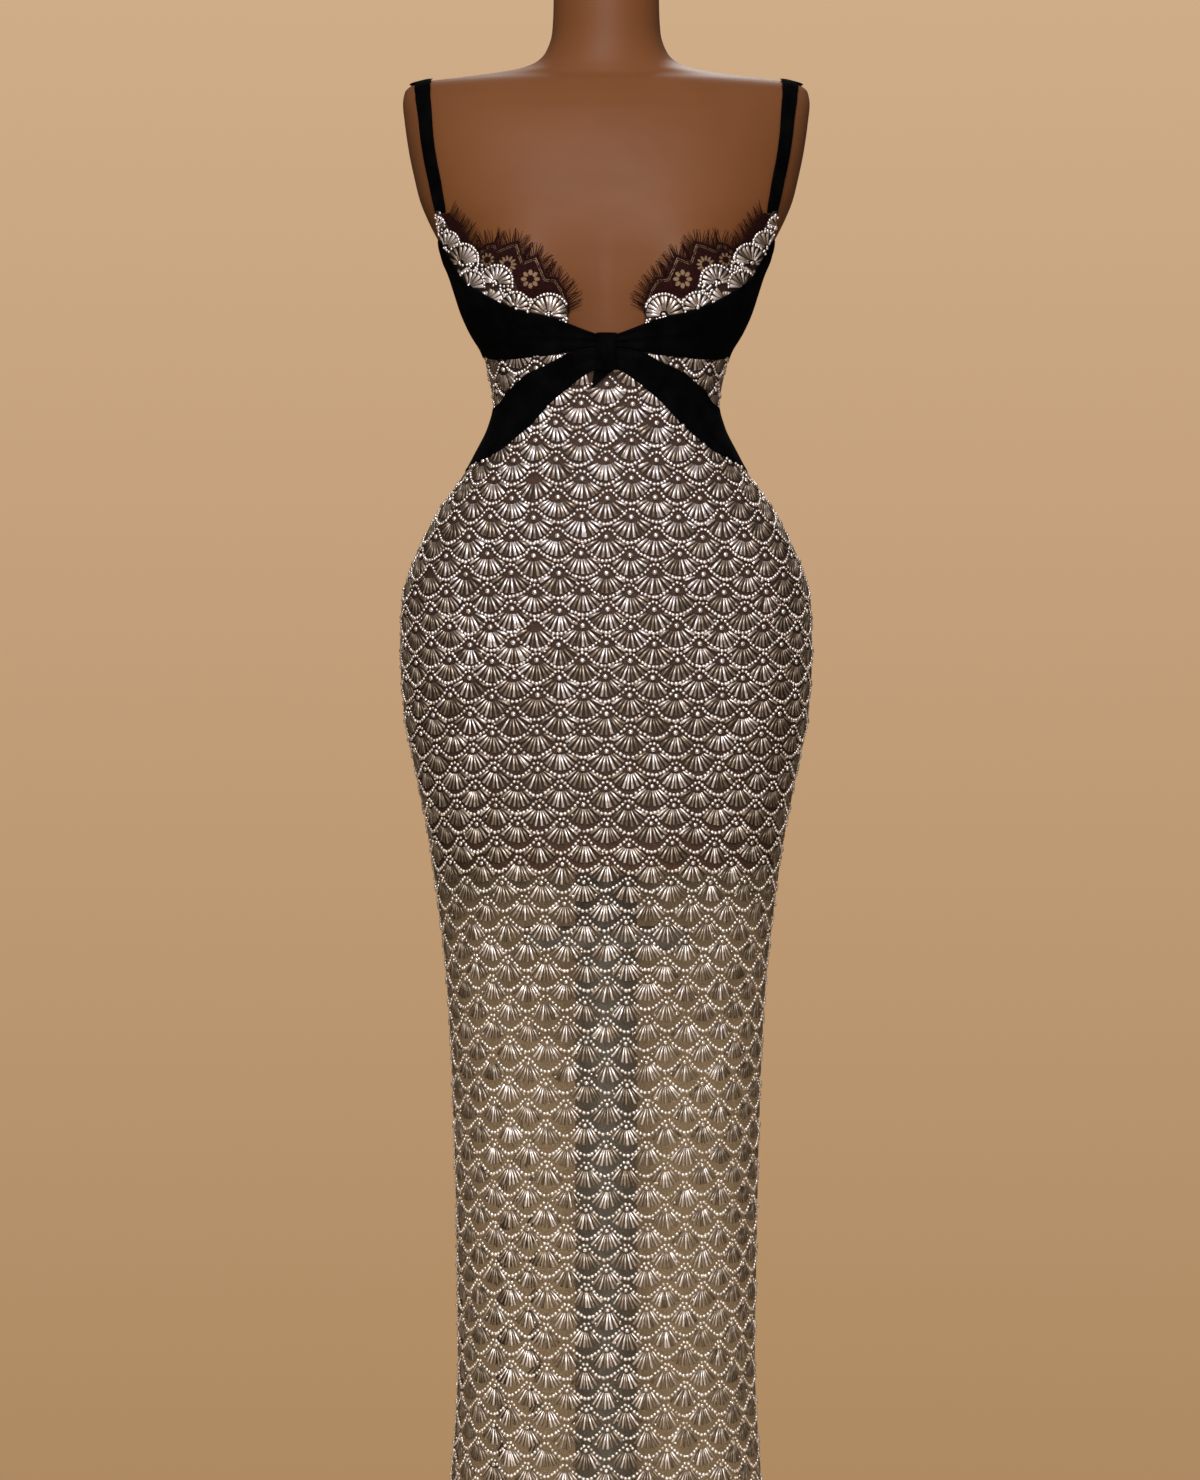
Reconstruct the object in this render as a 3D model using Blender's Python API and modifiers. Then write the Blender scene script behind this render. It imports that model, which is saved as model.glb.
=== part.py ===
"""Beaded evening gown with a black velvet tie bodice, on a limbless dress form.

Metres, +Z up, +X to the right as seen from the front, and the front faces -Y.
The origin is on the floor, at the centre of the underside of the stand's base.

The form's body is one loft of sections. Every piece of the gown is a thin wall drawn
on that body by angle (0 at centre front, 180 at centre back) and height, and lifted
off along the body's normal to the layer that it lies in.
"""
import math
from collections import namedtuple

import bmesh
import bpy
import numpy as np
from mathutils import Matrix, Vector

COLLECTION_NAME = "evening_gown"

# Layers, as heights above the form, and the thickness of each wall.
LACE_LIFT = 0.0010
STRAP_LIFT = 0.0009
NET_LIFT = 0.0031
VELVET_LIFT = 0.0055
LACE_WALL = 0.0010
STRAP_WALL = 0.0010
NET_WALL = 0.0012
VELVET_WALL = 0.0013
KNOT_END_LIFT = 0.0048
SEAM_GAP = 0.0003
CUP_SEAM_GAP = 0.0007

# Spans of each wall's grid, along and up, unless the sections give its rows.
FORM_COLUMNS = 36
FRONT_COLUMNS = 18
BACK_COLUMNS = 9
CUP_GRID = (34, 8)
WING_GRID = (22, 10)
TAIL_GRID = (18, 5)
BAND_GRID = (13, 4)
LACE_ROWS = 5
STRAP_SPANS = 44

# Lengths and levels of the gown.
HEM_HEIGHT = 0.006
FRONT_TOP = 1.1945
BUST_RISE = 0.030
BUST_ACROSS = 0.078
BUST_HEIGHT = 1.238
BUST_WIDTH = 0.050
BUST_REACH_UP = 0.060
BUST_REACH_DOWN = 0.046
CUP_INNER = 0.0350
STRAP_WIDTH = 0.0160
ZIP_HALF_WIDTH = 0.0028
ZIP_SLOT = 0.0032
ZIP_END = 0.9700
ZIP_TOP = 1.2560
LAST_ROW_CLEARANCE = 0.006
LACE_TUCK = 0.007
PANEL_TUCK = 0.003
CUP_TUCK = 0.0012

# The form and its stand.
FORM_BOTTOM = 0.724
BASE_RADIUS = 0.095
BASE_THICK = 0.012
COLUMN_RADIUS = 0.028
BRACKET_SIZE = Vector((0.148, 0.034, 0.021))
BRACKET_MIDDLE = 0.663
TOUCH_GAP = 0.0003

# Pull tab of the zip.
PIVOT_HEIGHT = 1.2490
PIVOT_CLEARANCE = 0.0016
PIN_RADIUS = 0.00055
EYE_RADIUS = 0.0014
EYE_BORE = 0.0009
TAB_LENGTH = 0.024
TAB_WIDTH = 0.0050
TAB_THICK = 0.0010

Section = namedtuple("Section", "height half_width front back middle roundness")
SECTIONS = [
    Section(0.0000, 0.1452, 0.112, 0.120, 0.000, 2.00),
    Section(0.1800, 0.1337, 0.103, 0.109, 0.000, 2.00),
    Section(0.2300, 0.1300, 0.101, 0.107, 0.000, 2.00),
    Section(0.2800, 0.1280, 0.100, 0.106, 0.000, 2.00),
    Section(0.3800, 0.1292, 0.098, 0.104, 0.000, 2.00),
    Section(0.5175, 0.1325, 0.098, 0.104, 0.000, 2.00),
    Section(0.6200, 0.1375, 0.098, 0.105, 0.000, 2.00),
    Section(0.6900, 0.1452, 0.099, 0.106, 0.000, 2.00),
    Section(0.7578, 0.1550, 0.099, 0.108, 0.000, 2.05),
    Section(0.8208, 0.1675, 0.100, 0.114, 0.000, 2.10),
    Section(0.8640, 0.1760, 0.101, 0.119, 0.000, 2.10),
    Section(0.9225, 0.1796, 0.103, 0.124, 0.000, 2.10),
    Section(0.9450, 0.1792, 0.104, 0.124, 0.000, 2.10),
    Section(0.9702, 0.1778, 0.104, 0.123, 0.000, 2.10),
    Section(0.9900, 0.1720, 0.104, 0.121, 0.000, 2.10),
    Section(1.0080, 0.1652, 0.103, 0.117, 0.000, 2.10),
    Section(1.0530, 0.1409, 0.099, 0.106, 0.000, 2.10),
    Section(1.0782, 0.1223, 0.095, 0.098, 0.000, 2.10),
    Section(1.0962, 0.1124, 0.092, 0.092, 0.000, 2.10),
    Section(1.1214, 0.1002, 0.087, 0.086, 0.000, 2.10),
    Section(1.1403, 0.0956, 0.085, 0.083, 0.000, 2.10),
    Section(1.1700, 0.1004, 0.087, 0.085, 0.000, 2.10),
    Section(1.1925, 0.1065, 0.089, 0.088, 0.000, 2.15),
    Section(1.2105, 0.1167, 0.090, 0.091, 0.000, 2.20),
    Section(1.2285, 0.1251, 0.091, 0.095, 0.000, 2.25),
    Section(1.2465, 0.1312, 0.092, 0.099, 0.000, 2.30),
    Section(1.2645, 0.1373, 0.092, 0.103, 0.000, 2.35),
    Section(1.2825, 0.1467, 0.093, 0.106, 0.000, 2.40),
    Section(1.3095, 0.1608, 0.092, 0.106, 0.000, 2.40),
    Section(1.3275, 0.1680, 0.091, 0.104, 0.002, 2.40),
    Section(1.3455, 0.1725, 0.092, 0.100, 0.005, 2.35),
    Section(1.3725, 0.1782, 0.090, 0.092, 0.010, 2.30),
    Section(1.4000, 0.1822, 0.084, 0.080, 0.015, 2.15),
    Section(1.4160, 0.1838, 0.077, 0.070, 0.018, 2.00),
    Section(1.4270, 0.1820, 0.070, 0.062, 0.019, 1.80),
    Section(1.4330, 0.1755, 0.065, 0.058, 0.019, 1.65),
    Section(1.4360, 0.1660, 0.062, 0.056, 0.019, 1.55),
    Section(1.4378, 0.1510, 0.061, 0.055, 0.019, 1.50),
    Section(1.4420, 0.1120, 0.058, 0.054, 0.018, 1.60),
    Section(1.4465, 0.0820, 0.055, 0.053, 0.017, 1.75),
    Section(1.4530, 0.0640, 0.052, 0.052, 0.016, 1.90),
    Section(1.4620, 0.0550, 0.049, 0.051, 0.015, 2.00),
    Section(1.4800, 0.0490, 0.047, 0.050, 0.015, 2.00),
    Section(1.5050, 0.0477, 0.046, 0.048, 0.015, 2.00),
    Section(1.5280, 0.0475, 0.045, 0.047, 0.016, 2.00),
    Section(1.5300, 0.0455, 0.043, 0.045, 0.016, 2.00),
]

# Levels of the form's rings: closer together over the bust and the shoulders.
FORM_LEVELS = [FORM_BOTTOM, 0.775, 0.8208, 0.864, 0.9225, 0.9702, 1.008, 1.053, 1.0962, 1.1403, 1.180]
FORM_LEVELS += [1.192 + 0.012 * step for step in range(1, 10)]
FORM_LEVELS += [1.3225] + [section.height for section in SECTIONS if section.height > 1.34]

# Outlines as seen from the front: distance from the centre line, and height.
Edge = namedtuple("Edge", "across height")
WING_UPPER = [
    Edge(0.0093, 1.1999), Edge(0.0193, 1.2033), Edge(0.0347, 1.2093), Edge(0.0497, 1.2151),
    Edge(0.0672, 1.2190), Edge(0.0840, 1.2240), Edge(0.1009, 1.2318), Edge(0.1135, 1.2395),
    Edge(0.1245, 1.2474), Edge(0.1355, 1.2624), Edge(0.1437, 1.2768), Edge(0.1477, 1.2875),
]
WING_LOWER = [
    Edge(0.0093, 1.1898), Edge(0.0189, 1.1880), Edge(0.0316, 1.1862), Edge(0.0489, 1.1830),
    Edge(0.0649, 1.1824), Edge(0.0837, 1.1814), Edge(0.0964, 1.1817), Edge(0.1060, 1.1838),
]
LACE_UPPER = [
    Edge(0.0334, 1.2182), Edge(0.0344, 1.2276), Edge(0.0380, 1.2379), Edge(0.0444, 1.2475),
    Edge(0.0529, 1.2479), Edge(0.0610, 1.2675), Edge(0.0726, 1.2628), Edge(0.0775, 1.2796),
    Edge(0.0857, 1.2780), Edge(0.0952, 1.2745), Edge(0.0974, 1.2801), Edge(0.1054, 1.2789),
    Edge(0.1121, 1.2745), Edge(0.1207, 1.2840), Edge(0.1262, 1.2925), Edge(0.1298, 1.3007),
    Edge(0.1350, 1.3050), Edge(0.1390, 1.3092),
]
CUP_NOTCHES = [
    Edge(0.0347, 1.2129), Edge(0.0558, 1.2287), Edge(0.0715, 1.2321), Edge(0.0821, 1.2392),
    Edge(0.0927, 1.2519), Edge(0.1116, 1.2599), Edge(0.1179, 1.2719), Edge(0.1270, 1.2825),
    Edge(0.1352, 1.2913), Edge(0.1416, 1.2998), Edge(0.1443, 1.3127), Edge(0.1530, 1.3142),
]

# Beaded fans that stand up along the cup's edge.
Scallop = namedtuple("Scallop", "across height radius")
SCALLOPS = [
    Scallop(0.0514, 1.2170, 0.0176),
    Scallop(0.0787, 1.2232, 0.0132),
    Scallop(0.0945, 1.2443, 0.0150),
    Scallop(0.1253, 1.2659, 0.0167),
    Scallop(0.1390, 1.2823, 0.0132),
    Scallop(0.1472, 1.3006, 0.0078),
]

# Edges round the side and back, by angle from centre front in degrees.
Turn = namedtuple("Turn", "angle height")
ARMHOLE = [Turn(61.4, 1.3142), Turn(64.5, 1.3030), Turn(69.0, 1.2903), Turn(78.0, 1.2795),
           Turn(90.0, 1.2705)]
WING_CORNER = 68.0
WING_SIDE_LOW = 1.1862
BAND_UPPER = [Turn(90.0, 1.2705), Turn(110.0, 1.2655), Turn(140.0, 1.2605), Turn(180.0, 1.2585)]
BAND_LOWER = [Turn(90.0, 1.1862), Turn(104.0, 1.1980), Turn(125.0, 1.2110), Turn(180.0, 1.2160)]

# Stations along a tie tail, from the knot to the side seam.
Station = namedtuple("Station", "upper_across upper_height lower_across lower_height")
TAIL = [
    Station(0.0093, 1.1875, 0.0093, 1.1690),
    Station(0.0189, 1.1854, 0.0130, 1.1676),
    Station(0.0320, 1.1833, 0.0233, 1.1616),
    Station(0.0489, 1.1776, 0.0357, 1.1521),
    Station(0.0596, 1.1729, 0.0490, 1.1406),
    Station(0.0703, 1.1681, 0.0650, 1.1229),
    Station(0.0811, 1.1601, 0.0837, 1.1061),
    Station(0.0903, 1.1526, 0.0962, 1.0968),
    Station(0.0968, 1.1428, 0.1117, 1.0891),
]
TAIL_SEAM_TOP = 1.1394
TAIL_SEAM_LOW = 1.0782

# The strap's centre line: up the front, over the shoulder and down the back.
Strap = namedtuple("Strap", "across height behind")
STRAP = [
    Strap(0.1478, 1.3110, False), Strap(0.1489, 1.3180, False), Strap(0.1519, 1.3330, False),
    Strap(0.1558, 1.3520, False), Strap(0.1588, 1.3687, False), Strap(0.1615, 1.3900, False),
    Strap(0.1637, 1.4100, False), Strap(0.1652, 1.4250, False), Strap(0.1658, 1.4320, False),
    Strap(0.1662, 1.4350, False), Strap(0.1662, 1.4350, True), Strap(0.1655, 1.4310, True),
    Strap(0.1640, 1.4200, True), Strap(0.1600, 1.3970, True), Strap(0.1525, 1.3660, True),
    Strap(0.1435, 1.3300, True), Strap(0.1320, 1.2920, True), Strap(0.1240, 1.2640, True),
    Strap(0.1205, 1.2500, True),
]

# The knot and the short end that shows below it.
KNOT_LOW = 1.1692
KNOT_TOP = 1.2012
KNOT_HALF_WIDTH = 0.0086
KNOT_BULGE = 0.0100
KNOT_END = [Edge(-0.0104, 1.1666), Edge(0.0070, 1.1670), Edge(-0.0112, 1.1536),
            Edge(-0.0124, 1.1532)]

# Lashes of the eyelash lace, along the lace's upper edge.
LASH_COUNT = 36
LASH_LENGTH = 0.0115
LASH_STRIP = 0.0011
LASH_GAP = 0.0009

BLACK_VELVET = ("black_velvet", (0.006, 0.005, 0.006), 0.95, 0.0)
BLACK_LACE = ("black_lace", (0.020, 0.008, 0.010), 0.80, 0.0)
BEADED_NET = ("beaded_net", (0.42, 0.37, 0.30), 0.35, 0.25)
ZIP_TAPE = ("zip_tape", (0.24, 0.20, 0.16), 0.70, 0.0)
FORM_SKIN = ("form_skin", (0.195, 0.085, 0.040), 0.55, 0.0)
STAND_METAL = ("stand_metal", (0.085, 0.082, 0.070), 0.45, 0.8)
ZIP_METAL = ("zip_metal", (0.60, 0.58, 0.54), 0.30, 1.0)


def clear_scene():
    for old in list(bpy.data.objects):
        bpy.data.objects.remove(old, do_unlink=True)


def make_material(look):
    name, colour, roughness, metallic = look
    material = bpy.data.materials.get(name) or bpy.data.materials.new(name)
    material.use_nodes = True
    shader = material.node_tree.nodes["Principled BSDF"]
    shader.inputs["Base Color"].default_value = (*colour, 1.0)
    shader.inputs["Roughness"].default_value = roughness
    shader.inputs["Metallic"].default_value = metallic
    material.diffuse_color = (*colour, 1.0)
    return material


def make_collection(name):
    collection = bpy.data.collections.new(name)
    bpy.context.scene.collection.children.link(collection)
    return collection


# ---------------------------------------------------------------- the body surface

def end_slopes(places, values):
    """Slopes of a smooth curve that keeps every rise and fall of its points."""
    steps = np.diff(places)
    rises = np.diff(values) / steps
    slopes = np.zeros(len(values))
    slopes[0] = rises[0]
    slopes[-1] = rises[-1]
    for index in range(1, len(values) - 1):
        before = rises[index - 1]
        after = rises[index]
        if before * after > 0.0:
            near = 2.0 * steps[index] + steps[index - 1]
            far = steps[index] + 2.0 * steps[index - 1]
            slopes[index] = (near + far) / (near / before + far / after)
    return slopes


def smooth_curve(places, values):
    """A function that runs smoothly through the points (places, values)."""
    places = np.asarray(places, dtype=float)
    values = np.asarray(values, dtype=float)
    slopes = end_slopes(places, values)

    def curve(where):
        where = np.clip(np.asarray(where, dtype=float), places[0], places[-1])
        span = np.clip(np.searchsorted(places, where) - 1, 0, len(places) - 2)
        width = places[span + 1] - places[span]
        part = (where - places[span]) / width
        keep = part * part * (3.0 - 2.0 * part)
        lead = part * (1.0 - part) ** 2
        tail = part * part * (part - 1.0)
        return (values[span] * (1.0 - keep) + values[span + 1] * keep
                + width * (slopes[span] * lead + slopes[span + 1] * tail))

    return curve


SECTION_HEIGHTS = [section.height for section in SECTIONS]
PROFILE = {
    column: smooth_curve(SECTION_HEIGHTS, [getattr(section, column) for section in SECTIONS])
    for column in ("half_width", "front", "back", "middle", "roundness")
}


def bare_body(angle, height):
    """Points of the form's own surface, as an array with x, y, z last."""
    sine = np.sin(angle)
    cosine = np.cos(angle)
    power = PROFILE["roundness"](height)
    scale = (np.abs(sine) ** power + np.abs(cosine) ** power) ** (-1.0 / power)
    depth = np.where(cosine >= 0.0, PROFILE["front"](height), PROFILE["back"](height))
    across = PROFILE["half_width"](height) * sine * scale
    forward = depth * cosine * scale
    reach = np.where(height > BUST_HEIGHT, BUST_REACH_UP, BUST_REACH_DOWN)
    spread = ((np.abs(across) - BUST_ACROSS) / BUST_WIDTH) ** 2 + ((height - BUST_HEIGHT) / reach) ** 2
    face = np.clip(cosine / 0.45, 0.0, 1.0)
    bust = BUST_RISE * np.exp(-spread) * face * face * (3.0 - 2.0 * face)
    return np.stack([across, PROFILE["middle"](height) - forward - bust, height + 0.0 * angle], axis=-1)


def body(angle, height, lift=0.0):
    """Points on the body, lifted off along its normal."""
    angle, height, lift = np.broadcast_arrays(np.asarray(angle, float), height, lift)
    nudge = 2e-4
    points = bare_body(angle, height)
    turn = bare_body(angle + nudge, height) - bare_body(angle - nudge, height)
    climb = bare_body(angle, height + nudge) - bare_body(angle, height - nudge)
    normal = np.cross(turn, climb)
    normal /= np.linalg.norm(normal, axis=-1, keepdims=True)
    return points + normal * lift[..., None]


def angle_at(across, height, lift=0.0, behind=False):
    """The angle at which the lifted body lies a given distance from the centre line."""
    power = PROFILE["roundness"](height)
    ratio = np.clip(np.abs(across) / (PROFILE["half_width"](height) + lift), 0.0, 1.0)
    rest = np.clip(1.0 - ratio ** power, 0.0, 1.0) ** (1.0 / power)
    angle = np.arctan2(ratio, rest)
    if behind:
        angle = math.pi - angle
    return angle


def outline_by_angle(edges, lift):
    """Angles and heights of an outline that is given as seen from the front."""
    return [(float(angle_at(edge.across, edge.height, lift)), edge.height) for edge in edges]


def turns_to_radians(turns):
    return [(math.radians(turn.angle), turn.height) for turn in turns]


def height_by_angle(pairs):
    return smooth_curve([pair[0] for pair in pairs], [pair[1] for pair in pairs])


# ---------------------------------------------------------------- building meshes

def add_object(name, mesh, collection, look, smooth=True):
    thing = bpy.data.objects.new(name, mesh)
    mesh.materials.append(make_material(look))
    collection.objects.link(thing)
    if smooth:
        mesh.shade_smooth()
        mesh.set_sharp_from_angle(angle=math.radians(40.0))
    return thing


def loft_faces(build, rings, closed):
    """Join successive rows of points with quads; each row closes on itself if asked."""
    rows = [[build.verts.new(point) for point in ring] for ring in rings]
    for row, following in zip(rows, rows[1:]):
        count = len(row)
        for index in range(count if closed else count - 1):
            after = (index + 1) % count
            build.faces.new((row[index], row[after], following[after], following[index]))
    return rows


def wall_piece(name, points, wall, look, collection, side=1):
    """A cloth wall: an open sheet over a grid of points, thickened outwards.

    The grid runs by height, then by rising angle; side -1 gives its mirror image.
    """
    grid = np.array(points)
    if side < 0:
        grid[..., 0] *= -1.0
        grid = grid[:, ::-1]
    build = bmesh.new()
    loft_faces(build, [[Vector(point) for point in row] for row in grid], closed=False)
    mesh = bpy.data.meshes.new(name)
    build.to_mesh(mesh)
    build.free()
    thing = add_object(name, mesh, collection, look)
    shell = thing.modifiers.new("wall", "SOLIDIFY")
    shell.thickness = wall
    shell.offset = 1.0
    return thing


def loft_piece(name, rings, look, collection):
    """A closed solid through closed rings, from the lowest up, each turning like the first."""
    build = bmesh.new()
    rows = loft_faces(build, rings, closed=True)
    build.faces.new(list(reversed(rows[0])))
    build.faces.new(rows[-1])
    mesh = bpy.data.meshes.new(name)
    build.to_mesh(mesh)
    build.free()
    return add_object(name, mesh, collection, look)


def spread_rows(low, high, count):
    """Heights of a grid, rising from the lower to the upper edge, one row per step."""
    share = np.linspace(0.0, 1.0, count + 1)[:, None]
    return low + (high - low) * share


# ---------------------------------------------------------------- the form and stand

def make_form(collection):
    angles = np.linspace(0.0, 2.0 * math.pi, FORM_COLUMNS, endpoint=False)
    rings = [[Vector(point) for point in bare_body(angles, np.full(len(angles), level))]
             for level in FORM_LEVELS]
    return loft_piece("form_torso", rings, FORM_SKIN, collection)


def make_cylinder(name, radius, low, high, sides, look, collection, bevel=0.0):
    build = bmesh.new()
    place = Matrix.Translation((0.0, 0.0, (low + high) / 2.0))
    bmesh.ops.create_cone(build, cap_ends=True, segments=sides, radius1=radius, radius2=radius,
                          depth=high - low, matrix=place)
    mesh = bpy.data.meshes.new(name)
    build.to_mesh(mesh)
    build.free()
    thing = add_object(name, mesh, collection, look)
    if bevel:
        soften = thing.modifiers.new("edge", "BEVEL")
        soften.width = bevel
        soften.segments = 2
        soften.limit_method = "ANGLE"
    return thing


def make_box(name, size, middle, look, collection, bevel):
    build = bmesh.new()
    place = Matrix.Translation(middle) @ Matrix.Diagonal((*size, 1.0))
    bmesh.ops.create_cube(build, size=1.0, matrix=place)
    mesh = bpy.data.meshes.new(name)
    build.to_mesh(mesh)
    build.free()
    thing = add_object(name, mesh, collection, look)
    if bevel:
        soften = thing.modifiers.new("edge", "BEVEL")
        soften.width = bevel
        soften.segments = 2
    return thing


def make_stand(collection):
    bracket_low = BRACKET_MIDDLE - BRACKET_SIZE.z / 2.0
    bracket_top = BRACKET_MIDDLE + BRACKET_SIZE.z / 2.0
    make_cylinder("stand_base", BASE_RADIUS, 0.0, BASE_THICK, 32, STAND_METAL, collection, 0.002)
    make_cylinder("stand_column", COLUMN_RADIUS, BASE_THICK + TOUCH_GAP, bracket_low - TOUCH_GAP,
                  24, STAND_METAL, collection)
    make_box("stand_bracket", BRACKET_SIZE, (0.0, 0.0, BRACKET_MIDDLE), STAND_METAL, collection,
             0.003)
    make_cylinder("stand_neck", COLUMN_RADIUS, bracket_top + TOUCH_GAP, FORM_BOTTOM - TOUCH_GAP,
                  24, STAND_METAL, collection)


# ---------------------------------------------------------------- beaded net panels

def panel_levels(top):
    """Heights of a panel's rows, from the hem to just below its upper edge."""
    return [HEM_HEIGHT] + [height for height in SECTION_HEIGHTS
                           if HEM_HEIGHT < height < top - LAST_ROW_CLEARANCE]


def make_front_panel(collection):
    levels = np.array(panel_levels(FRONT_TOP) + [FRONT_TOP])
    seam = math.pi / 2.0 - SEAM_GAP / 2.0 / PROFILE["front"](levels)[:, None]
    angles = seam * np.linspace(-1.0, 1.0, FRONT_COLUMNS + 1)
    points = body(angles, levels[:, None], NET_LIFT)
    return wall_piece("net_front", points, NET_WALL, BEADED_NET, collection)


def make_back_panel(collection, side, name):
    band_top = height_by_angle(turns_to_radians(BAND_UPPER))
    levels = panel_levels(BAND_UPPER[-1].height)
    slot_foot = ZIP_END - LAST_ROW_CLEARANCE
    levels = np.array(sorted(levels + [slot_foot]))
    middle_gap = np.where(levels > slot_foot, ZIP_SLOT, SEAM_GAP / 2.0)
    seam = math.pi / 2.0 + SEAM_GAP / 2.0 / PROFILE["back"](levels)
    middle = angle_at(middle_gap, levels, behind=True)
    share = np.linspace(0.0, 1.0, BACK_COLUMNS + 1)
    angles = seam[:, None] + (middle - seam)[:, None] * share
    heights = np.repeat(levels[:, None], len(share), axis=1)
    top_angles = angles[-1]
    angles = np.vstack([angles, top_angles])
    heights = np.vstack([heights, band_top(top_angles) - PANEL_TUCK])
    points = body(angles, heights, NET_LIFT)
    return wall_piece(name, points, NET_WALL, BEADED_NET, collection, side)


def scallop_height(across):
    """Upper edge of the cup as seen from the front: fans over a stepped line."""
    height = np.interp(across, [edge.across for edge in CUP_NOTCHES],
                       [edge.height for edge in CUP_NOTCHES])
    for fan in SCALLOPS:
        inside = np.clip(fan.radius ** 2 - (across - fan.across) ** 2, 0.0, None)
        height = np.where(inside > 0.0, np.maximum(height, fan.height + np.sqrt(inside)), height)
    return height


def highest_under(edge_height, angle, low, high):
    """The greatest height at one angle that still lies below an edge seen from the front."""
    levels = np.arange(high, low, -0.0004)
    across = np.abs(bare_body(np.full(len(levels), angle), levels)[:, 0])
    under = levels <= edge_height(across)
    if not under.any():
        return low
    return float(levels[np.argmax(under)])


def cup_top(angle):
    """Upper edge of the cup by angle: fans, then the armhole edge."""
    armhole = turns_to_radians(ARMHOLE)
    if angle >= armhole[0][0]:
        return float(height_by_angle(armhole)(angle)) - CUP_TUCK
    return highest_under(scallop_height, angle, FRONT_TOP + LAST_ROW_CLEARANCE, ARMHOLE[0].height)


def make_cup(collection, side, name):
    inner = float(angle_at(CUP_INNER, CUP_NOTCHES[0].height, NET_LIFT))
    outer = math.pi / 2.0 - SEAM_GAP / 2.0 / PROFILE["front"](BUST_HEIGHT)
    angles = np.linspace(inner, outer, CUP_GRID[0] + 1)
    tops = np.array([cup_top(angle) for angle in angles])
    heights = spread_rows(FRONT_TOP + CUP_SEAM_GAP, tops, CUP_GRID[1])
    points = body(angles[None, :], heights, NET_LIFT)
    return wall_piece(name, points, NET_WALL, BEADED_NET, collection, side)


# ---------------------------------------------------------------- eyelash lace

def blurred(values, reach):
    """A running mean over a column of directions, each end held."""
    kernel = np.full(2 * reach + 1, 1.0 / (2 * reach + 1))
    return np.stack([np.convolve(np.pad(values[:, axis], reach, mode="edge"), kernel, mode="valid")
                     for axis in (0, 1)], axis=1)


def square_to(path, reach):
    """Unit directions square to a path, pointing away from the cloth below it."""
    ahead = blurred(np.gradient(path, axis=0), reach)
    square = np.stack([-ahead[:, 1], ahead[:, 0]], axis=1)
    return square / np.linalg.norm(square, axis=1, keepdims=True)


def even_path(edges, count):
    """Points spread evenly along an outline seen from the front."""
    corners = np.array([[edge.across, edge.height] for edge in edges])
    lengths = np.concatenate([[0.0], np.cumsum(np.linalg.norm(np.diff(corners, axis=0), axis=1))])
    where = np.linspace(0.0, lengths[-1], count)
    return np.stack([np.interp(where, lengths, corners[:, axis]) for axis in (0, 1)], axis=1)


def make_lace(collection, side, name):
    """The lace behind the cup: from under the fans up to its own stepped edge."""
    path = even_path(LACE_UPPER, LASH_COUNT + 1)
    top_angles = angle_at(path[:, 0], path[:, 1])
    low_angles = np.linspace(top_angles[0] + 0.02, top_angles[-1], len(path))
    lows = np.array([cup_top(angle) for angle in low_angles]) - LACE_TUCK
    rise = np.linspace(0.0, 1.0, LACE_ROWS + 1)[:, None]
    angles = low_angles + (top_angles - low_angles) * rise
    heights = lows + (path[:, 1] - lows) * rise
    return wall_piece(name, body(angles, heights, LACE_LIFT), LACE_WALL, BLACK_LACE, collection,
                      side)


def on_body(flat_points, lift):
    """Points on the front of the body, from their front view and a lift."""
    flat_points = np.asarray(flat_points)
    angles = angle_at(flat_points[:, 0], flat_points[:, 1])
    return [Vector(point) for point in body(angles, flat_points[:, 1], lift)]


def make_lashes(collection, side, name):
    """A narrow strip parted from the lace's edge, with the lashes standing on it."""
    corners = even_path(LACE_UPPER, LASH_COUNT + 1)
    path = np.empty((2 * LASH_COUNT + 1, 2))
    path[0::2] = corners
    path[1::2] = (corners[:-1] + corners[1:]) / 2.0
    edge_square = square_to(path, 1)
    lash_square = square_to(path, 4)
    near = path + edge_square * LASH_GAP
    far = path + edge_square * (LASH_GAP + LASH_STRIP)
    corners = [on_body(near, LACE_LIFT), on_body(far, LACE_LIFT),
               on_body(far, LACE_LIFT + LACE_WALL), on_body(near, LACE_LIFT + LACE_WALL)]
    build = bmesh.new()
    rings = [[build.verts.new(corner[index]) for corner in corners] for index in range(len(path))]
    for index, (ring, following) in enumerate(zip(rings, rings[1:])):
        for here in range(4):
            after = (here + 1) % 4
            quad = (ring[here], ring[after], following[after], following[here])
            if here == 1 and index % 2 == 1:
                middle = (far[index] + far[index + 1]) / 2.0
                lean = lash_square[index] + np.array([0.0, 0.55])
                lean /= np.linalg.norm(lean)
                sway = 1.0 + 0.16 * math.sin(index * 1.7)
                tip = middle + lean * LASH_LENGTH * sway
                point = build.verts.new(on_body([tip], LACE_LIFT + 1.2 * LACE_WALL)[0])
                for corner in range(4):
                    build.faces.new((quad[corner], quad[(corner + 1) % 4], point))
            else:
                build.faces.new(quad)
    build.faces.new(list(reversed(rings[0])))
    build.faces.new(rings[-1])
    bmesh.ops.recalc_face_normals(build, faces=build.faces)
    if side < 0:
        bmesh.ops.scale(build, vec=(-1.0, 1.0, 1.0), verts=build.verts)
        bmesh.ops.reverse_faces(build, faces=build.faces)
    mesh = bpy.data.meshes.new(name)
    build.to_mesh(mesh)
    build.free()
    return add_object(name, mesh, collection, BLACK_LACE, smooth=False)


# ---------------------------------------------------------------- velvet pieces

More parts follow.
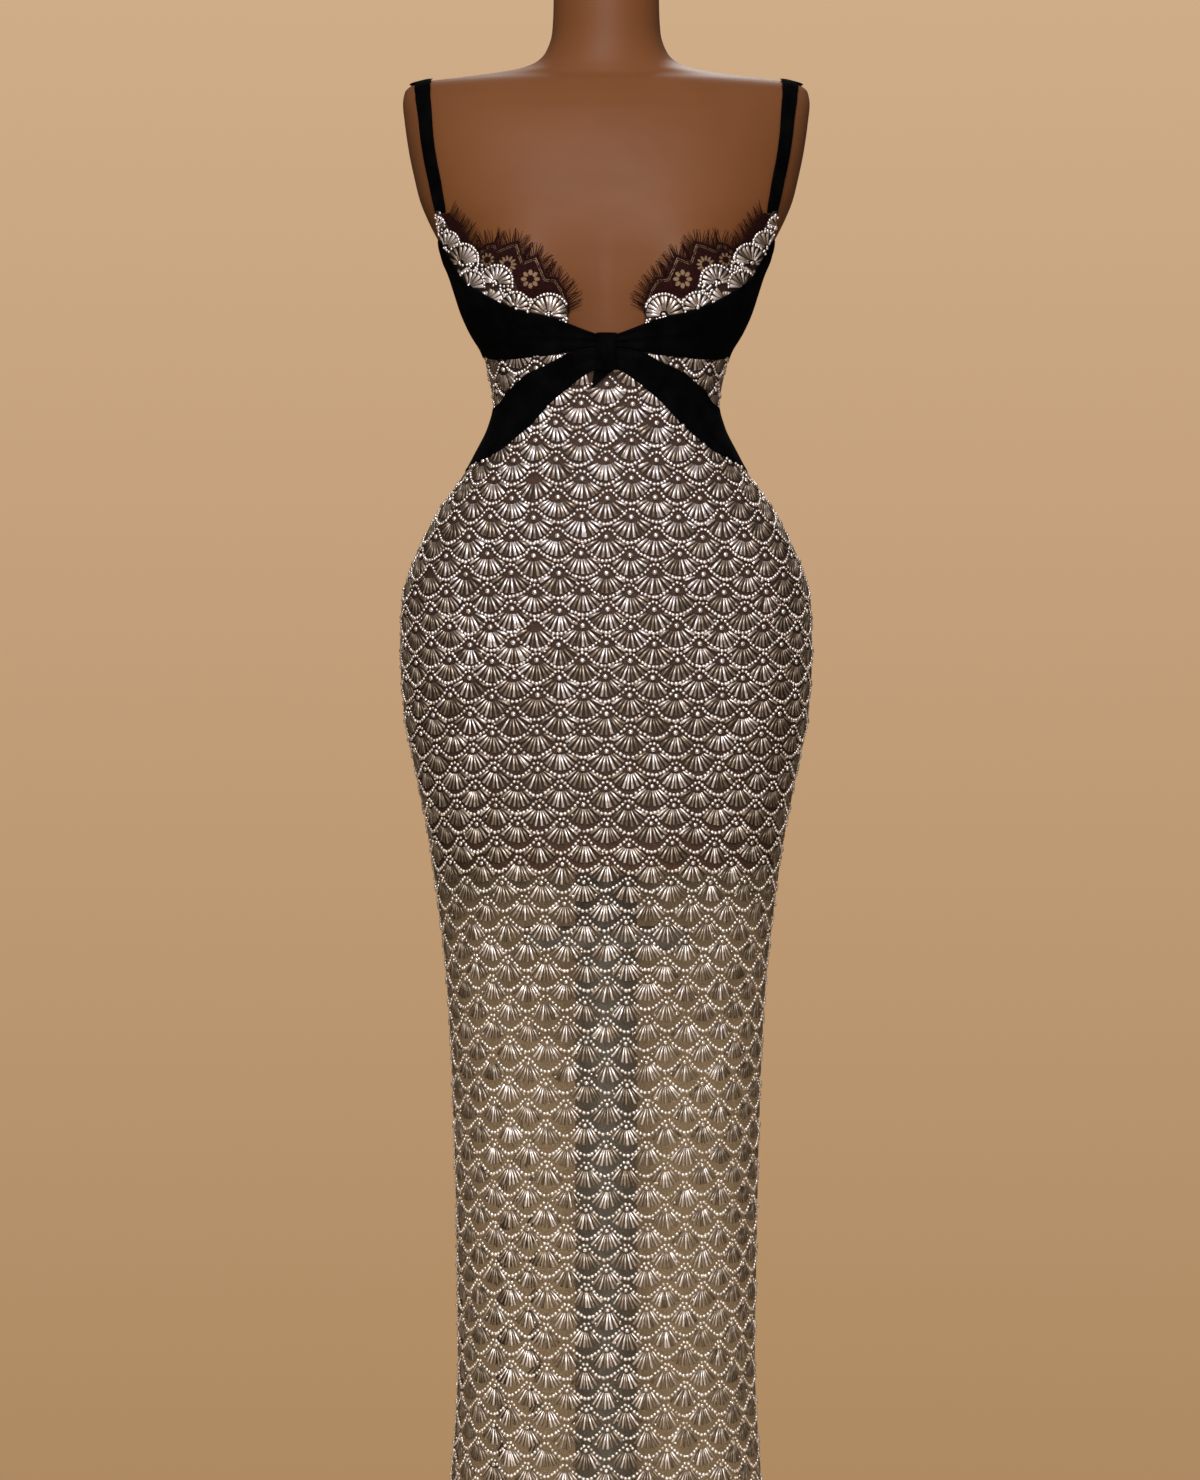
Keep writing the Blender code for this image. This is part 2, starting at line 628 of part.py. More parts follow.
def gather(along, across, folds, depth):
    """Soft folds that run out of the knot and fade along the piece."""
    fade = np.clip(1.0 - along / 0.75, 0.0, 1.0) ** 2
    return depth * fade * (0.5 - 0.5 * np.cos(2.0 * math.pi * folds * across))


def make_wing(collection, side, name):
    lift = VELVET_LIFT + VELVET_WALL
    seam = math.pi / 2.0 - SEAM_GAP / 2.0 / PROFILE["front"](BUST_HEIGHT)
    corner = math.radians(WING_CORNER)
    armhole = [turn for turn in turns_to_radians(ARMHOLE) if turn[0] > corner]
    upper = [pair for pair in outline_by_angle(WING_UPPER, lift) if pair[0] < corner] + armhole
    lower = outline_by_angle(WING_LOWER, lift)
    lower = [pair for pair in lower if pair[0] < math.radians(80.0)]
    lower.append((math.pi / 2.0, WING_SIDE_LOW))
    share = np.linspace(0.0, 1.0, WING_GRID[0] + 1)
    low_start = lower[0][0]
    top_start = upper[0][0]
    low_angles = low_start + (seam - low_start) * share
    top_angles = top_start + (seam - top_start) * share
    rise = np.linspace(0.0, 1.0, WING_GRID[1] + 1)[:, None]
    angles = low_angles + (top_angles - low_angles) * rise
    heights = height_by_angle(lower)(low_angles) + rise * (
        height_by_angle(upper)(top_angles) - height_by_angle(lower)(low_angles))
    lifts = VELVET_LIFT + gather(share[None, :], rise, 2.5, 0.0024)
    return wall_piece(name, body(angles, heights, lifts), VELVET_WALL, BLACK_VELVET, collection,
                      side)


def make_tail(collection, side, name):
    lift = VELVET_LIFT + VELVET_WALL
    seam = math.pi / 2.0 - SEAM_GAP / 2.0 / PROFILE["front"](TAIL_SEAM_TOP)
    stations = np.arange(len(TAIL) + 1)
    upper_heights = [station.upper_height for station in TAIL]
    lower_heights = [station.lower_height for station in TAIL]
    upper_angles = [float(angle_at(station.upper_across, station.upper_height, lift))
                    for station in TAIL]
    lower_angles = [float(angle_at(station.lower_across, station.lower_height, lift))
                    for station in TAIL]
    columns = [smooth_curve(stations, values) for values in (
        upper_angles + [seam], upper_heights + [TAIL_SEAM_TOP],
        lower_angles + [seam], lower_heights + [TAIL_SEAM_LOW])]
    where = np.linspace(0.0, stations[-1], TAIL_GRID[0] + 1)
    top_angle, top_height, low_angle, low_height = (column(where) for column in columns)
    rise = np.linspace(0.0, 1.0, TAIL_GRID[1] + 1)[:, None]
    angles = low_angle + (top_angle - low_angle) * rise
    heights = low_height + (top_height - low_height) * rise
    lifts = VELVET_LIFT + gather(where[None, :] / stations[-1], rise, 2.0, 0.0020)
    return wall_piece(name, body(angles, heights, lifts), VELVET_WALL, BLACK_VELVET, collection,
                      side)


def make_band(collection, side, name):
    """The velvet band that carries each wing on round the back to the zip."""
    upper = height_by_angle(turns_to_radians(BAND_UPPER))
    lower = height_by_angle(turns_to_radians(BAND_LOWER))
    seam = math.pi / 2.0 + SEAM_GAP / 2.0 / PROFILE["back"](BUST_HEIGHT)
    middle = float(angle_at(ZIP_SLOT + 0.0003, BAND_UPPER[-1].height, behind=True))
    angles = np.linspace(seam, middle, BAND_GRID[0] + 1)
    heights = spread_rows(lower(angles), upper(angles), BAND_GRID[1])
    points = body(angles[None, :], heights, VELVET_LIFT)
    return wall_piece(name, points, VELVET_WALL, BLACK_VELVET, collection, side)


def make_strap(collection, side, name):
    angles = [float(angle_at(stop.across, stop.height, STRAP_LIFT, stop.behind)) for stop in STRAP]
    heights = [stop.height for stop in STRAP]
    stations = np.arange(len(STRAP))
    fine = np.linspace(0.0, stations[-1], 400)
    centre = body(smooth_curve(stations, angles)(fine), smooth_curve(stations, heights)(fine),
                  STRAP_LIFT)
    bare = body(smooth_curve(stations, angles)(fine), smooth_curve(stations, heights)(fine))
    lengths = np.concatenate([[0.0], np.cumsum(np.linalg.norm(np.diff(centre, axis=0), axis=1))])
    where = np.linspace(0.0, lengths[-1], STRAP_SPANS + 1)
    path = np.stack([np.interp(where, lengths, centre[:, axis]) for axis in range(3)], axis=1)
    foot = np.stack([np.interp(where, lengths, bare[:, axis]) for axis in range(3)], axis=1)
    ahead = np.gradient(path, axis=0)
    outward = path - foot
    sideways = np.cross(ahead, outward)
    sideways /= np.linalg.norm(sideways, axis=1, keepdims=True)
    half = STRAP_WIDTH / 2.0
    grid = np.stack([path + sideways * half * place for place in (-1.0, 1.0)], axis=1)
    return wall_piece(name, grid, STRAP_WALL, BLACK_VELVET, collection, side)


def make_knot(collection):
    rings = []
    for share in np.linspace(0.0, 1.0, 9):
        height = KNOT_LOW + (KNOT_TOP - KNOT_LOW) * share
        swell = math.sin(math.pi * (0.10 + 0.80 * share)) ** 0.6
        half = KNOT_HALF_WIDTH * (0.90 + 0.10 * abs(2.0 * share - 1.0))
        turn = np.linspace(-math.pi / 2.0, math.pi / 2.0, 11)
        across = half * np.sin(turn)
        bulge = KNOT_BULGE * swell * np.cos(turn) ** 0.8
        front = body(np.sign(across) * angle_at(across, height), np.full(11, height),
                     VELVET_LIFT + 0.0006 + bulge)
        back_across = np.array([half * 0.6, 0.0, -half * 0.6])
        back = body(np.sign(back_across) * angle_at(back_across, height), np.full(3, height),
                    VELVET_LIFT)
        rings.append([Vector(point) for point in np.vstack([front, back])])
    return loft_piece("tie_knot", rings, BLACK_VELVET, collection)


def make_knot_end(collection):
    left, right, low_right, low_left = KNOT_END
    share = np.linspace(0.0, 1.0, 5)
    rise = np.linspace(0.0, 1.0, 4)[:, None]
    low = [low_left.across + (low_right.across - low_left.across) * share,
           low_left.height + (low_right.height - low_left.height) * share]
    top = [left.across + (right.across - left.across) * share,
           left.height + (right.height - left.height) * share]
    across = low[0] + (top[0] - low[0]) * rise
    heights = low[1] + (top[1] - low[1]) * rise
    angles = np.sign(across) * angle_at(across, heights)
    points = body(angles, heights, KNOT_END_LIFT)
    return wall_piece("tie_knot_end", points, VELVET_WALL, BLACK_VELVET, collection)


# ---------------------------------------------------------------- zip

def make_zip_strip(collection):
    levels = [ZIP_END] + [height for height in SECTION_HEIGHTS if ZIP_END < height < ZIP_TOP - 0.006]
    levels = np.array(levels + [ZIP_TOP])
    across = np.array([ZIP_HALF_WIDTH, 0.0, -ZIP_HALF_WIDTH])
    turned = angle_at(across[None, :], levels[:, None], behind=True)
    angles = np.where(across >= 0.0, turned, 2.0 * math.pi - turned)
    return wall_piece("zip_strip", body(angles, levels[:, None], NET_LIFT), NET_WALL, ZIP_TAPE,
                      collection)


def pivot_point():
    """Centre of the slider's pin, clear of the velvet band behind the pull tab."""
    surface = float(bare_body(np.array(math.pi), np.array(PIVOT_HEIGHT + 0.0045))[1])
    cloth = VELVET_LIFT + VELVET_WALL
    return Vector((0.0, surface + cloth + PIVOT_CLEARANCE, PIVOT_HEIGHT))


def bar_along_x(name, radius, length, middle, sides, collection):
    build = bmesh.new()
    place = Matrix.Translation(middle) @ Matrix.Rotation(math.pi / 2.0, 4, "Y")
    bmesh.ops.create_cone(build, cap_ends=True, segments=sides, radius1=radius, radius2=radius,
                          depth=length, matrix=place)
    mesh = bpy.data.meshes.new(name)
    build.to_mesh(mesh)
    build.free()
    return add_object(name, mesh, collection, ZIP_METAL)


def as_tool(thing):
    thing.hide_render = True
    thing.display_type = "WIRE"
    return thing


def join_with(thing, tool, operation):
    step = thing.modifiers.new(operation.lower() + "_" + tool.name, "BOOLEAN")
    step.operation = operation
    step.solver = "EXACT"
    step.object = as_tool(tool)


def make_slider(collection, tools):
    pivot = pivot_point()
    plate_middle = pivot + Vector((0.0, -0.0028, 0.0))
    slider = make_box("zip_slider", (0.0056, 0.0016, 0.0090), plate_middle, ZIP_METAL, collection,
                      0.0)
    for side in (-1.0, 1.0):
        ear = make_box("slider_ear", (0.0009, 0.0036, 0.0030),
                       pivot + Vector((side * 0.00225, -0.0006, 0.0)), ZIP_METAL, tools, 0.0)
        join_with(slider, ear, "UNION")
    pin = bar_along_x("slider_pin", PIN_RADIUS, 0.0043, pivot, 10, tools)
    join_with(slider, pin, "UNION")
    return slider


def make_pull_tab(collection, tools):
    pivot = pivot_point()
    tab = bar_along_x("zip_pull_tab", EYE_RADIUS, 0.0028, pivot, 16, collection)
    neck = make_box("tab_neck", (0.0024, TAB_THICK, 0.0050), pivot + Vector((0.0, 0.0, -0.0032)),
                    ZIP_METAL, tools, 0.0)
    blade_length = TAB_LENGTH - 0.0040
    blade = make_box("tab_blade", (TAB_WIDTH, TAB_THICK, blade_length),
                     pivot + Vector((0.0, 0.0, -0.0040 - blade_length / 2.0)), ZIP_METAL, tools,
                     0.0)
    join_with(tab, neck, "UNION")
    join_with(tab, blade, "UNION")
    bore = bar_along_x("tab_bore", EYE_BORE, 0.0060, pivot, 14, tools)
    join_with(tab, bore, "DIFFERENCE")
    return tab


def main():
    clear_scene()
    collection = make_collection(COLLECTION_NAME)
    tools = make_collection("cutters")
    make_stand(collection)
    make_form(collection)
    make_front_panel(collection)
    for side, word in ((-1, "left"), (1, "right")):
        make_back_panel(collection, side, "net_back_" + word)
        make_cup(collection, side, "cup_" + word)
        make_lace(collection, side, "lace_" + word)
        make_lashes(collection, side, "lashes_" + word)
        make_wing(collection, side, "velvet_wing_" + word)
        make_tail(collection, side, "velvet_tail_" + word)
        make_band(collection, side, "velvet_band_" + word)
        make_strap(collection, side, "strap_" + word)
    make_knot(collection)
    make_knot_end(collection)
    make_zip_strip(collection)
    make_slider(collection, tools)
    make_pull_tab(collection, tools)


main()
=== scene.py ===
"""Looks of the beaded evening gown and its dress form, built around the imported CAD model.

Metres, +Z up, the front faces -Y. The cloth is drawn again on the form's body surface, by angle
from centre front and by height, and the beads are laid on it by distance from a centre line.
"""

import math
from collections import namedtuple

import bpy
import numpy as np
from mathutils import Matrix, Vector


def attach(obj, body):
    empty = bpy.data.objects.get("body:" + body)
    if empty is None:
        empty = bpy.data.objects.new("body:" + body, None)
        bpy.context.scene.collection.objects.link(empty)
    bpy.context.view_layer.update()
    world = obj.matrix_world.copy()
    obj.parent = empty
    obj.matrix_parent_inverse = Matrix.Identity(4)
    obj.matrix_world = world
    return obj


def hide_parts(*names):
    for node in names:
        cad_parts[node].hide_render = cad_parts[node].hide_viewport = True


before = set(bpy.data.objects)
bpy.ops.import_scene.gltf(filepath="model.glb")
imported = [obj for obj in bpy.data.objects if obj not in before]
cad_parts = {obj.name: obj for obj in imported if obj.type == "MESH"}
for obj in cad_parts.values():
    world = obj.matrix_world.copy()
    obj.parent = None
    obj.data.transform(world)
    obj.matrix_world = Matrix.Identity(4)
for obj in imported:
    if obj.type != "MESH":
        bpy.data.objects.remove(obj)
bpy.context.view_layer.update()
GOWN = "gown_on_form"
RNG = np.random.default_rng(41)


# ------------------------ camera, lights and stage

CAMERA_PLACE = (-0.0057, -4.5, 0.8415)
CAMERA_LENS = 121.6


def make_camera():
    data = bpy.data.cameras.new("camera")
    data.lens = CAMERA_LENS
    data.sensor_width = 36.0
    camera = bpy.data.objects.new("camera", data)
    camera.location = CAMERA_PLACE
    camera.rotation_euler = (math.radians(90.0), 0.0, 0.0)
    bpy.context.scene.collection.objects.link(camera)
    bpy.context.scene.camera = camera


Lamp = namedtuple("Lamp", "name place target size power colour")
LAMPS = [
    Lamp("key", (-0.5, -3.3, 3.5), (0.0, 0.0, 1.05), 0.9, 118.0, (1.0, 0.97, 0.94)),
    Lamp("fill", (0.9, -4.0, 1.5), (0.0, 0.0, 0.8), 1.4, 32.0, (1.0, 0.96, 0.93)),
    Lamp("low", (-0.8, -4.1, 0.5), (0.0, 0.0, 0.4), 1.2, 32.0, (1.0, 0.95, 0.89)),
    Lamp("spark", (0.35, -3.9, 2.3), (0.0, 0.0, 1.1), 0.30, 36.0, (1.0, 0.95, 1.0)),
    Lamp("back", (0.3, 3.2, 3.9), (0.0, 0.0, 0.9), 1.8, 60.0, (1.0, 0.98, 0.95)),
]


# Colours by the upward share of a direction: the wall as the camera sees it, darker towards the
# floor, and the room that lights the gown, tan at the sides and pale above.
Surround = namedtuple("Surround", "socket reach strength stops")
WALL = Surround(2, 0.15, 1.0, [(0.0, (0.42, 0.25, 0.12)), (1.0, (0.63, 0.42, 0.25))])
ROOM = Surround(1, 0.90, 0.44, [(0.0, (0.26, 0.17, 0.09)), (0.5, (0.28, 0.19, 0.11)),
                                (1.0, (0.74, 0.68, 0.64))])


def make_lamps():
    """Soft round lamps, each aimed at its target."""
    for lamp in LAMPS:
        data = bpy.data.lights.new(lamp.name, "AREA")
        data.shape = "DISK"
        data.size = lamp.size
        data.energy = lamp.power
        data.color = lamp.colour
        light = bpy.data.objects.new(lamp.name, data)
        light.location = lamp.place
        light.visible_camera = False
        aim = Vector(lamp.target) - Vector(lamp.place)
        light.rotation_euler = aim.to_track_quat("-Z", "Y").to_euler()
        bpy.context.scene.collection.objects.link(light)


def make_surround():
    """The wall behind the gown, and the room that lights it."""
    world = bpy.data.worlds.new("studio")
    world.use_nodes = True
    tree = Tree(world.node_tree)
    direction = tree.node("TexCoord").outputs["Generated"]
    upward = tree.node("SeparateXYZ", {"Vector": direction}).outputs["Z"]
    mix = tree.node("MixShader", {"Fac": tree.node("LightPath").outputs["Is Camera Ray"]})
    for surround in (WALL, ROOM):
        share = tree.rescaled(upward, -surround.reach, surround.reach, 0.0, 1.0)
        paint = tree.node("Background", {"Color": tree.ramp(share, surround.stops),
                                         "Strength": surround.strength})
        tree.put(paint.outputs["Background"], mix.inputs[surround.socket])
    tree.put(mix.outputs["Shader"], tree.nodes["World Output"].inputs["Surface"])
    bpy.context.scene.world = world
    bpy.context.scene.view_settings.view_transform = "Standard"


make_camera()


# ------------------------ the body surface

# Layers above the form and wall thicknesses, as in the CAD model.
LACE_LIFT = 0.0010
STRAP_LIFT = 0.0009
NET_LIFT = 0.0031
VELVET_LIFT = 0.0055
KNOT_END_LIFT = 0.0048
STRAP_WALL = 0.0010
NET_WALL = 0.0012
VELVET_WALL = 0.0013
SEAM_GAP = 0.0003
CUP_SEAM_GAP = 0.0007

HEM_HEIGHT = 0.006
FRONT_TOP = 1.1945
BUST_RISE = 0.030
BUST_ACROSS = 0.078
BUST_HEIGHT = 1.238
BUST_WIDTH = 0.050
BUST_REACH_UP = 0.060
BUST_REACH_DOWN = 0.046
CUP_INNER = 0.0350
STRAP_WIDTH = 0.0160
ZIP_HALF_WIDTH = 0.0028
ZIP_SLOT = 0.0032
ZIP_END = 0.9700
ZIP_TOP = 1.2560
LAST_ROW_CLEARANCE = 0.006
CUP_TUCK = 0.0012
FORM_BOTTOM = 0.724

Section = namedtuple("Section", "height half_width front back middle roundness")
SECTIONS = [Section(*row) for row in (
    (0.0000, 0.1452, 0.112, 0.120, 0.000, 2.00), (0.1800, 0.1337, 0.103, 0.109, 0.000, 2.00),
    (0.2300, 0.1300, 0.101, 0.107, 0.000, 2.00), (0.2800, 0.1280, 0.100, 0.106, 0.000, 2.00),
    (0.3800, 0.1292, 0.098, 0.104, 0.000, 2.00), (0.5175, 0.1325, 0.098, 0.104, 0.000, 2.00),
    (0.6200, 0.1375, 0.098, 0.105, 0.000, 2.00), (0.6900, 0.1452, 0.099, 0.106, 0.000, 2.00),
    (0.7578, 0.1550, 0.099, 0.108, 0.000, 2.05), (0.8208, 0.1675, 0.100, 0.114, 0.000, 2.10),
    (0.8640, 0.1760, 0.101, 0.119, 0.000, 2.10), (0.9225, 0.1796, 0.103, 0.124, 0.000, 2.10),
    (0.9450, 0.1792, 0.104, 0.124, 0.000, 2.10), (0.9702, 0.1778, 0.104, 0.123, 0.000, 2.10),
    (0.9900, 0.1720, 0.104, 0.121, 0.000, 2.10), (1.0080, 0.1652, 0.103, 0.117, 0.000, 2.10),
    (1.0530, 0.1409, 0.099, 0.106, 0.000, 2.10), (1.0782, 0.1223, 0.095, 0.098, 0.000, 2.10),
    (1.0962, 0.1124, 0.092, 0.092, 0.000, 2.10), (1.1214, 0.1002, 0.087, 0.086, 0.000, 2.10),
    (1.1403, 0.0956, 0.085, 0.083, 0.000, 2.10), (1.1700, 0.1004, 0.087, 0.085, 0.000, 2.10),
    (1.1925, 0.1065, 0.089, 0.088, 0.000, 2.15), (1.2105, 0.1167, 0.090, 0.091, 0.000, 2.20),
    (1.2285, 0.1251, 0.091, 0.095, 0.000, 2.25), (1.2465, 0.1312, 0.092, 0.099, 0.000, 2.30),
    (1.2645, 0.1373, 0.092, 0.103, 0.000, 2.35), (1.2825, 0.1467, 0.093, 0.106, 0.000, 2.40),
    (1.3095, 0.1608, 0.092, 0.106, 0.000, 2.40), (1.3275, 0.1680, 0.091, 0.104, 0.002, 2.40),
    (1.3455, 0.1725, 0.092, 0.100, 0.005, 2.35), (1.3725, 0.1782, 0.090, 0.092, 0.010, 2.30),
    (1.4000, 0.1822, 0.084, 0.080, 0.015, 2.15), (1.4160, 0.1838, 0.077, 0.070, 0.018, 2.00),
    (1.4270, 0.1820, 0.070, 0.062, 0.019, 1.80), (1.4330, 0.1755, 0.065, 0.058, 0.019, 1.65),
    (1.4360, 0.1660, 0.062, 0.056, 0.019, 1.55), (1.4378, 0.1510, 0.061, 0.055, 0.019, 1.50),
    (1.4420, 0.1120, 0.058, 0.054, 0.018, 1.60), (1.4465, 0.0820, 0.055, 0.053, 0.017, 1.75),
    (1.4530, 0.0640, 0.052, 0.052, 0.016, 1.90), (1.4620, 0.0550, 0.049, 0.051, 0.015, 2.00),
    (1.4800, 0.0490, 0.047, 0.050, 0.015, 2.00), (1.5050, 0.0477, 0.046, 0.048, 0.015, 2.00),
    (1.5280, 0.0475, 0.045, 0.047, 0.016, 2.00), (1.5300, 0.0455, 0.043, 0.045, 0.016, 2.00))]

# Outlines as seen from the front: distance from the centre line, and height.
Edge = namedtuple("Edge", "across height")


def edges(*pairs):
    return [Edge(*pair) for pair in pairs]


WING_UPPER = edges(
    (0.0066, 1.1990), (0.0193, 1.2033), (0.0347, 1.2093), (0.0497, 1.2151), (0.0672, 1.2190),
    (0.0840, 1.2240), (0.1009, 1.2318), (0.1135, 1.2395), (0.1245, 1.2474), (0.1355, 1.2624),
    (0.1437, 1.2768), (0.1477, 1.2875))
WING_LOWER = edges(
    (0.0066, 1.1886), (0.0189, 1.1874), (0.0330, 1.1854), (0.0489, 1.1830), (0.0649, 1.1824),
    (0.0837, 1.1814), (0.0964, 1.1817), (0.1060, 1.1838))
LACE_UPPER = edges(
    (0.0334, 1.2182), (0.0344, 1.2276), (0.0380, 1.2379), (0.0444, 1.2475), (0.0529, 1.2479),
    (0.0610, 1.2675), (0.0726, 1.2628), (0.0775, 1.2796), (0.0857, 1.2780), (0.0952, 1.2745),
    (0.0974, 1.2801), (0.1054, 1.2789), (0.1121, 1.2745), (0.1207, 1.2840), (0.1262, 1.2925),
    (0.1298, 1.3007), (0.1350, 1.3050), (0.1396, 1.3102))
CUP_NOTCHES = edges(
    (0.0347, 1.2129), (0.0558, 1.2287), (0.0715, 1.2321), (0.0821, 1.2392), (0.0927, 1.2519),
    (0.1116, 1.2599), (0.1179, 1.2719), (0.1270, 1.2825), (0.1352, 1.2913), (0.1416, 1.2998),
    (0.1443, 1.3127), (0.1530, 1.3142))

# Beaded fans that stand up along the cup's edge.
Scallop = namedtuple("Scallop", "across height radius")
SCALLOPS = [Scallop(*row) for row in (
    (0.0514, 1.2170, 0.0176), (0.0787, 1.2232, 0.0132), (0.0945, 1.2443, 0.0150),
    (0.1253, 1.2659, 0.0167), (0.1390, 1.2823, 0.0132), (0.1472, 1.3006, 0.0078))]

# Edges round the side and back: angle from centre front, and height.
Turn = namedtuple("Turn", "angle height")


def turns(*pairs):
    """Edges whose angles are given in degrees."""
    return [Turn(math.radians(angle), height) for angle, height in pairs]


ARMHOLE = turns(
    (61.4, 1.3142), (64.5, 1.3030), (69.0, 1.2903), (78.0, 1.2795), (90.0, 1.2705))
WING_CORNER = 68.0
WING_SIDE_LOW = 1.1862
BAND_UPPER = turns(
    (90.0, 1.2705), (110.0, 1.2655), (140.0, 1.2605), (180.0, 1.2585))
BAND_LOWER = turns(
    (90.0, 1.1862), (104.0, 1.1980), (125.0, 1.2110), (180.0, 1.2160))

# Stations along a tie tail, from the knot to the side seam.
Station = namedtuple("Station", "upper_across upper_height lower_across lower_height")
TAIL = [Station(*row) for row in (
    (0.0066, 1.1882, 0.0066, 1.1690), (0.0189, 1.1870, 0.0125, 1.1678),
    (0.0330, 1.1850, 0.0233, 1.1616), (0.0489, 1.1776, 0.0357, 1.1521),
    (0.0596, 1.1729, 0.0490, 1.1406), (0.0703, 1.1681, 0.0650, 1.1229),
    (0.0811, 1.1601, 0.0837, 1.1061), (0.0903, 1.1526, 0.0962, 1.0968),
    (0.0968, 1.1428, 0.1117, 1.0891))]
TAIL_SEAM_TOP = 1.1394
TAIL_SEAM_LOW = 1.0782

# The strap's centre line: up the front, over the shoulder and down the back.
Strap = namedtuple("Strap", "across height behind")
STRAP_FRONT = (
    (0.1478, 1.3110), (0.1489, 1.3180), (0.1519, 1.3330), (0.1558, 1.3520), (0.1588, 1.3687),
    (0.1615, 1.3900), (0.1637, 1.4100), (0.1652, 1.4250), (0.1658, 1.4320), (0.1662, 1.4350))
STRAP_BACK = (
    (0.1662, 1.4350), (0.1655, 1.4310), (0.1640, 1.4200), (0.1600, 1.3970), (0.1525, 1.3660),
    (0.1435, 1.3300), (0.1320, 1.2920), (0.1240, 1.2640), (0.1205, 1.2500))
STRAP = ([Strap(*row, False) for row in STRAP_FRONT]
         + [Strap(*row, True) for row in STRAP_BACK])

# The knot and the short end that shows below it.
KNOT_LOW = 1.1684
KNOT_TOP = 1.2012
KNOT_HALF_WIDTH = 0.0098
KNOT_BULGE = 0.0078
KNOT_EDGE_LIFT = 0.0030
CLOSED_BESIDE_KNOT = 0.0350
SLIT_HALF_HEIGHT = 0.0045
KNOT_SIDE_ANGLE = 1.0
KNOT_END = edges(
    (-0.0104, 1.1700), (0.0078, 1.1700), (-0.0108, 1.1536), (-0.0128, 1.1528))


# ------------------------ curves and the body surface


def end_slopes(places, values):
    """Slopes of a smooth curve that keeps every rise and fall of its points."""
    steps = np.diff(places)
    rises = np.diff(values) / steps
    slopes = np.zeros(len(values))
    slopes[0] = rises[0]
    slopes[-1] = rises[-1]
    for index in range(1, len(values) - 1):
        before = rises[index - 1]
        after = rises[index]
        if before * after > 0.0:
            near = 2.0 * steps[index] + steps[index - 1]
            far = steps[index] + 2.0 * steps[index - 1]
            slopes[index] = (near + far) / (near / before + far / after)
    return slopes


def smooth_curve(places, values):
    """A function that runs smoothly through the points (places, values)."""
    places = np.asarray(places, dtype=float)
    values = np.asarray(values, dtype=float)
    slopes = end_slopes(places, values)

    def curve(where):
        where = np.clip(np.asarray(where, dtype=float), places[0], places[-1])
        span = np.clip(np.searchsorted(places, where) - 1, 0, len(places) - 2)
        width = places[span + 1] - places[span]
        part = (where - places[span]) / width
        keep = part * part * (3.0 - 2.0 * part)
        lead = part * (1.0 - part) ** 2
        tail = part * part * (part - 1.0)
        return (values[span] * (1.0 - keep) + values[span + 1] * keep
                + width * (slopes[span] * lead + slopes[span + 1] * tail))

    return curve


SECTION_HEIGHTS = [section.height for section in SECTIONS]
PROFILE = {
    column: smooth_curve(SECTION_HEIGHTS, [getattr(section, column) for section in SECTIONS])
    for column in ("half_width", "front", "back", "middle", "roundness")
}


def bare_body(angle, height):
    """Points of the form's own surface, as an array with x, y, z last."""
    sine = np.sin(angle)
    cosine = np.cos(angle)
    power = PROFILE["roundness"](height)
    scale = (np.abs(sine) ** power + np.abs(cosine) ** power) ** (-1.0 / power)
    depth = np.where(cosine >= 0.0, PROFILE["front"](height), PROFILE["back"](height))
    across = PROFILE["half_width"](height) * sine * scale
    forward = depth * cosine * scale
    reach = np.where(height > BUST_HEIGHT, BUST_REACH_UP, BUST_REACH_DOWN)
    spread = ((np.abs(across) - BUST_ACROSS) / BUST_WIDTH) ** 2 + ((height - BUST_HEIGHT) / reach) ** 2
    face = np.clip(cosine / 0.45, 0.0, 1.0)
    bust = BUST_RISE * np.exp(-spread) * face * face * (3.0 - 2.0 * face)
    return np.stack([across, PROFILE["middle"](height) - forward - bust, height + 0.0 * angle], axis=-1)


def body_frame(angle, height, lift=0.0):
    """Points on the body, lifted off along its normal, and the normals."""
    angle, height, lift = np.broadcast_arrays(np.asarray(angle, float), height, lift)
    nudge = 2e-4
    points = bare_body(angle, height)
    turn = bare_body(angle + nudge, height) - bare_body(angle - nudge, height)
    climb = bare_body(angle, height + nudge) - bare_body(angle, height - nudge)
    normal = np.cross(turn, climb)
    normal /= np.linalg.norm(normal, axis=-1, keepdims=True)
    return points + normal * lift[..., None], normal


def body(angle, height, lift=0.0):
    return body_frame(angle, height, lift)[0]


def angle_at(across, height, lift=0.0, behind=False):
    """The angle at which the lifted body lies a given distance from the centre line."""
    power = PROFILE["roundness"](height)
    ratio = np.clip(np.abs(across) / (PROFILE["half_width"](height) + lift), 0.0, 1.0)
    rest = np.clip(1.0 - ratio ** power, 0.0, 1.0) ** (1.0 / power)
    angle = np.arctan2(ratio, rest)
    if behind:
        angle = math.pi - angle
    return angle


def outline_by_angle(outline, lift):
    """Angles and heights of an outline that is given as seen from the front."""
    return [(float(angle_at(edge.across, edge.height, lift)), edge.height) for edge in outline]


def height_by_angle(pairs):
    return smooth_curve([pair[0] for pair in pairs], [pair[1] for pair in pairs])


def scallop_height(across):
    """Upper edge of the cup as seen from the front: fans over a stepped line."""
    height = np.interp(across, [edge.across for edge in CUP_NOTCHES],
                       [edge.height for edge in CUP_NOTCHES])
    for fan in SCALLOPS:
        inside = np.clip(fan.radius ** 2 - (across - fan.across) ** 2, 0.0, None)
        height = np.where(inside > 0.0, np.maximum(height, fan.height + np.sqrt(inside)), height)
    return height


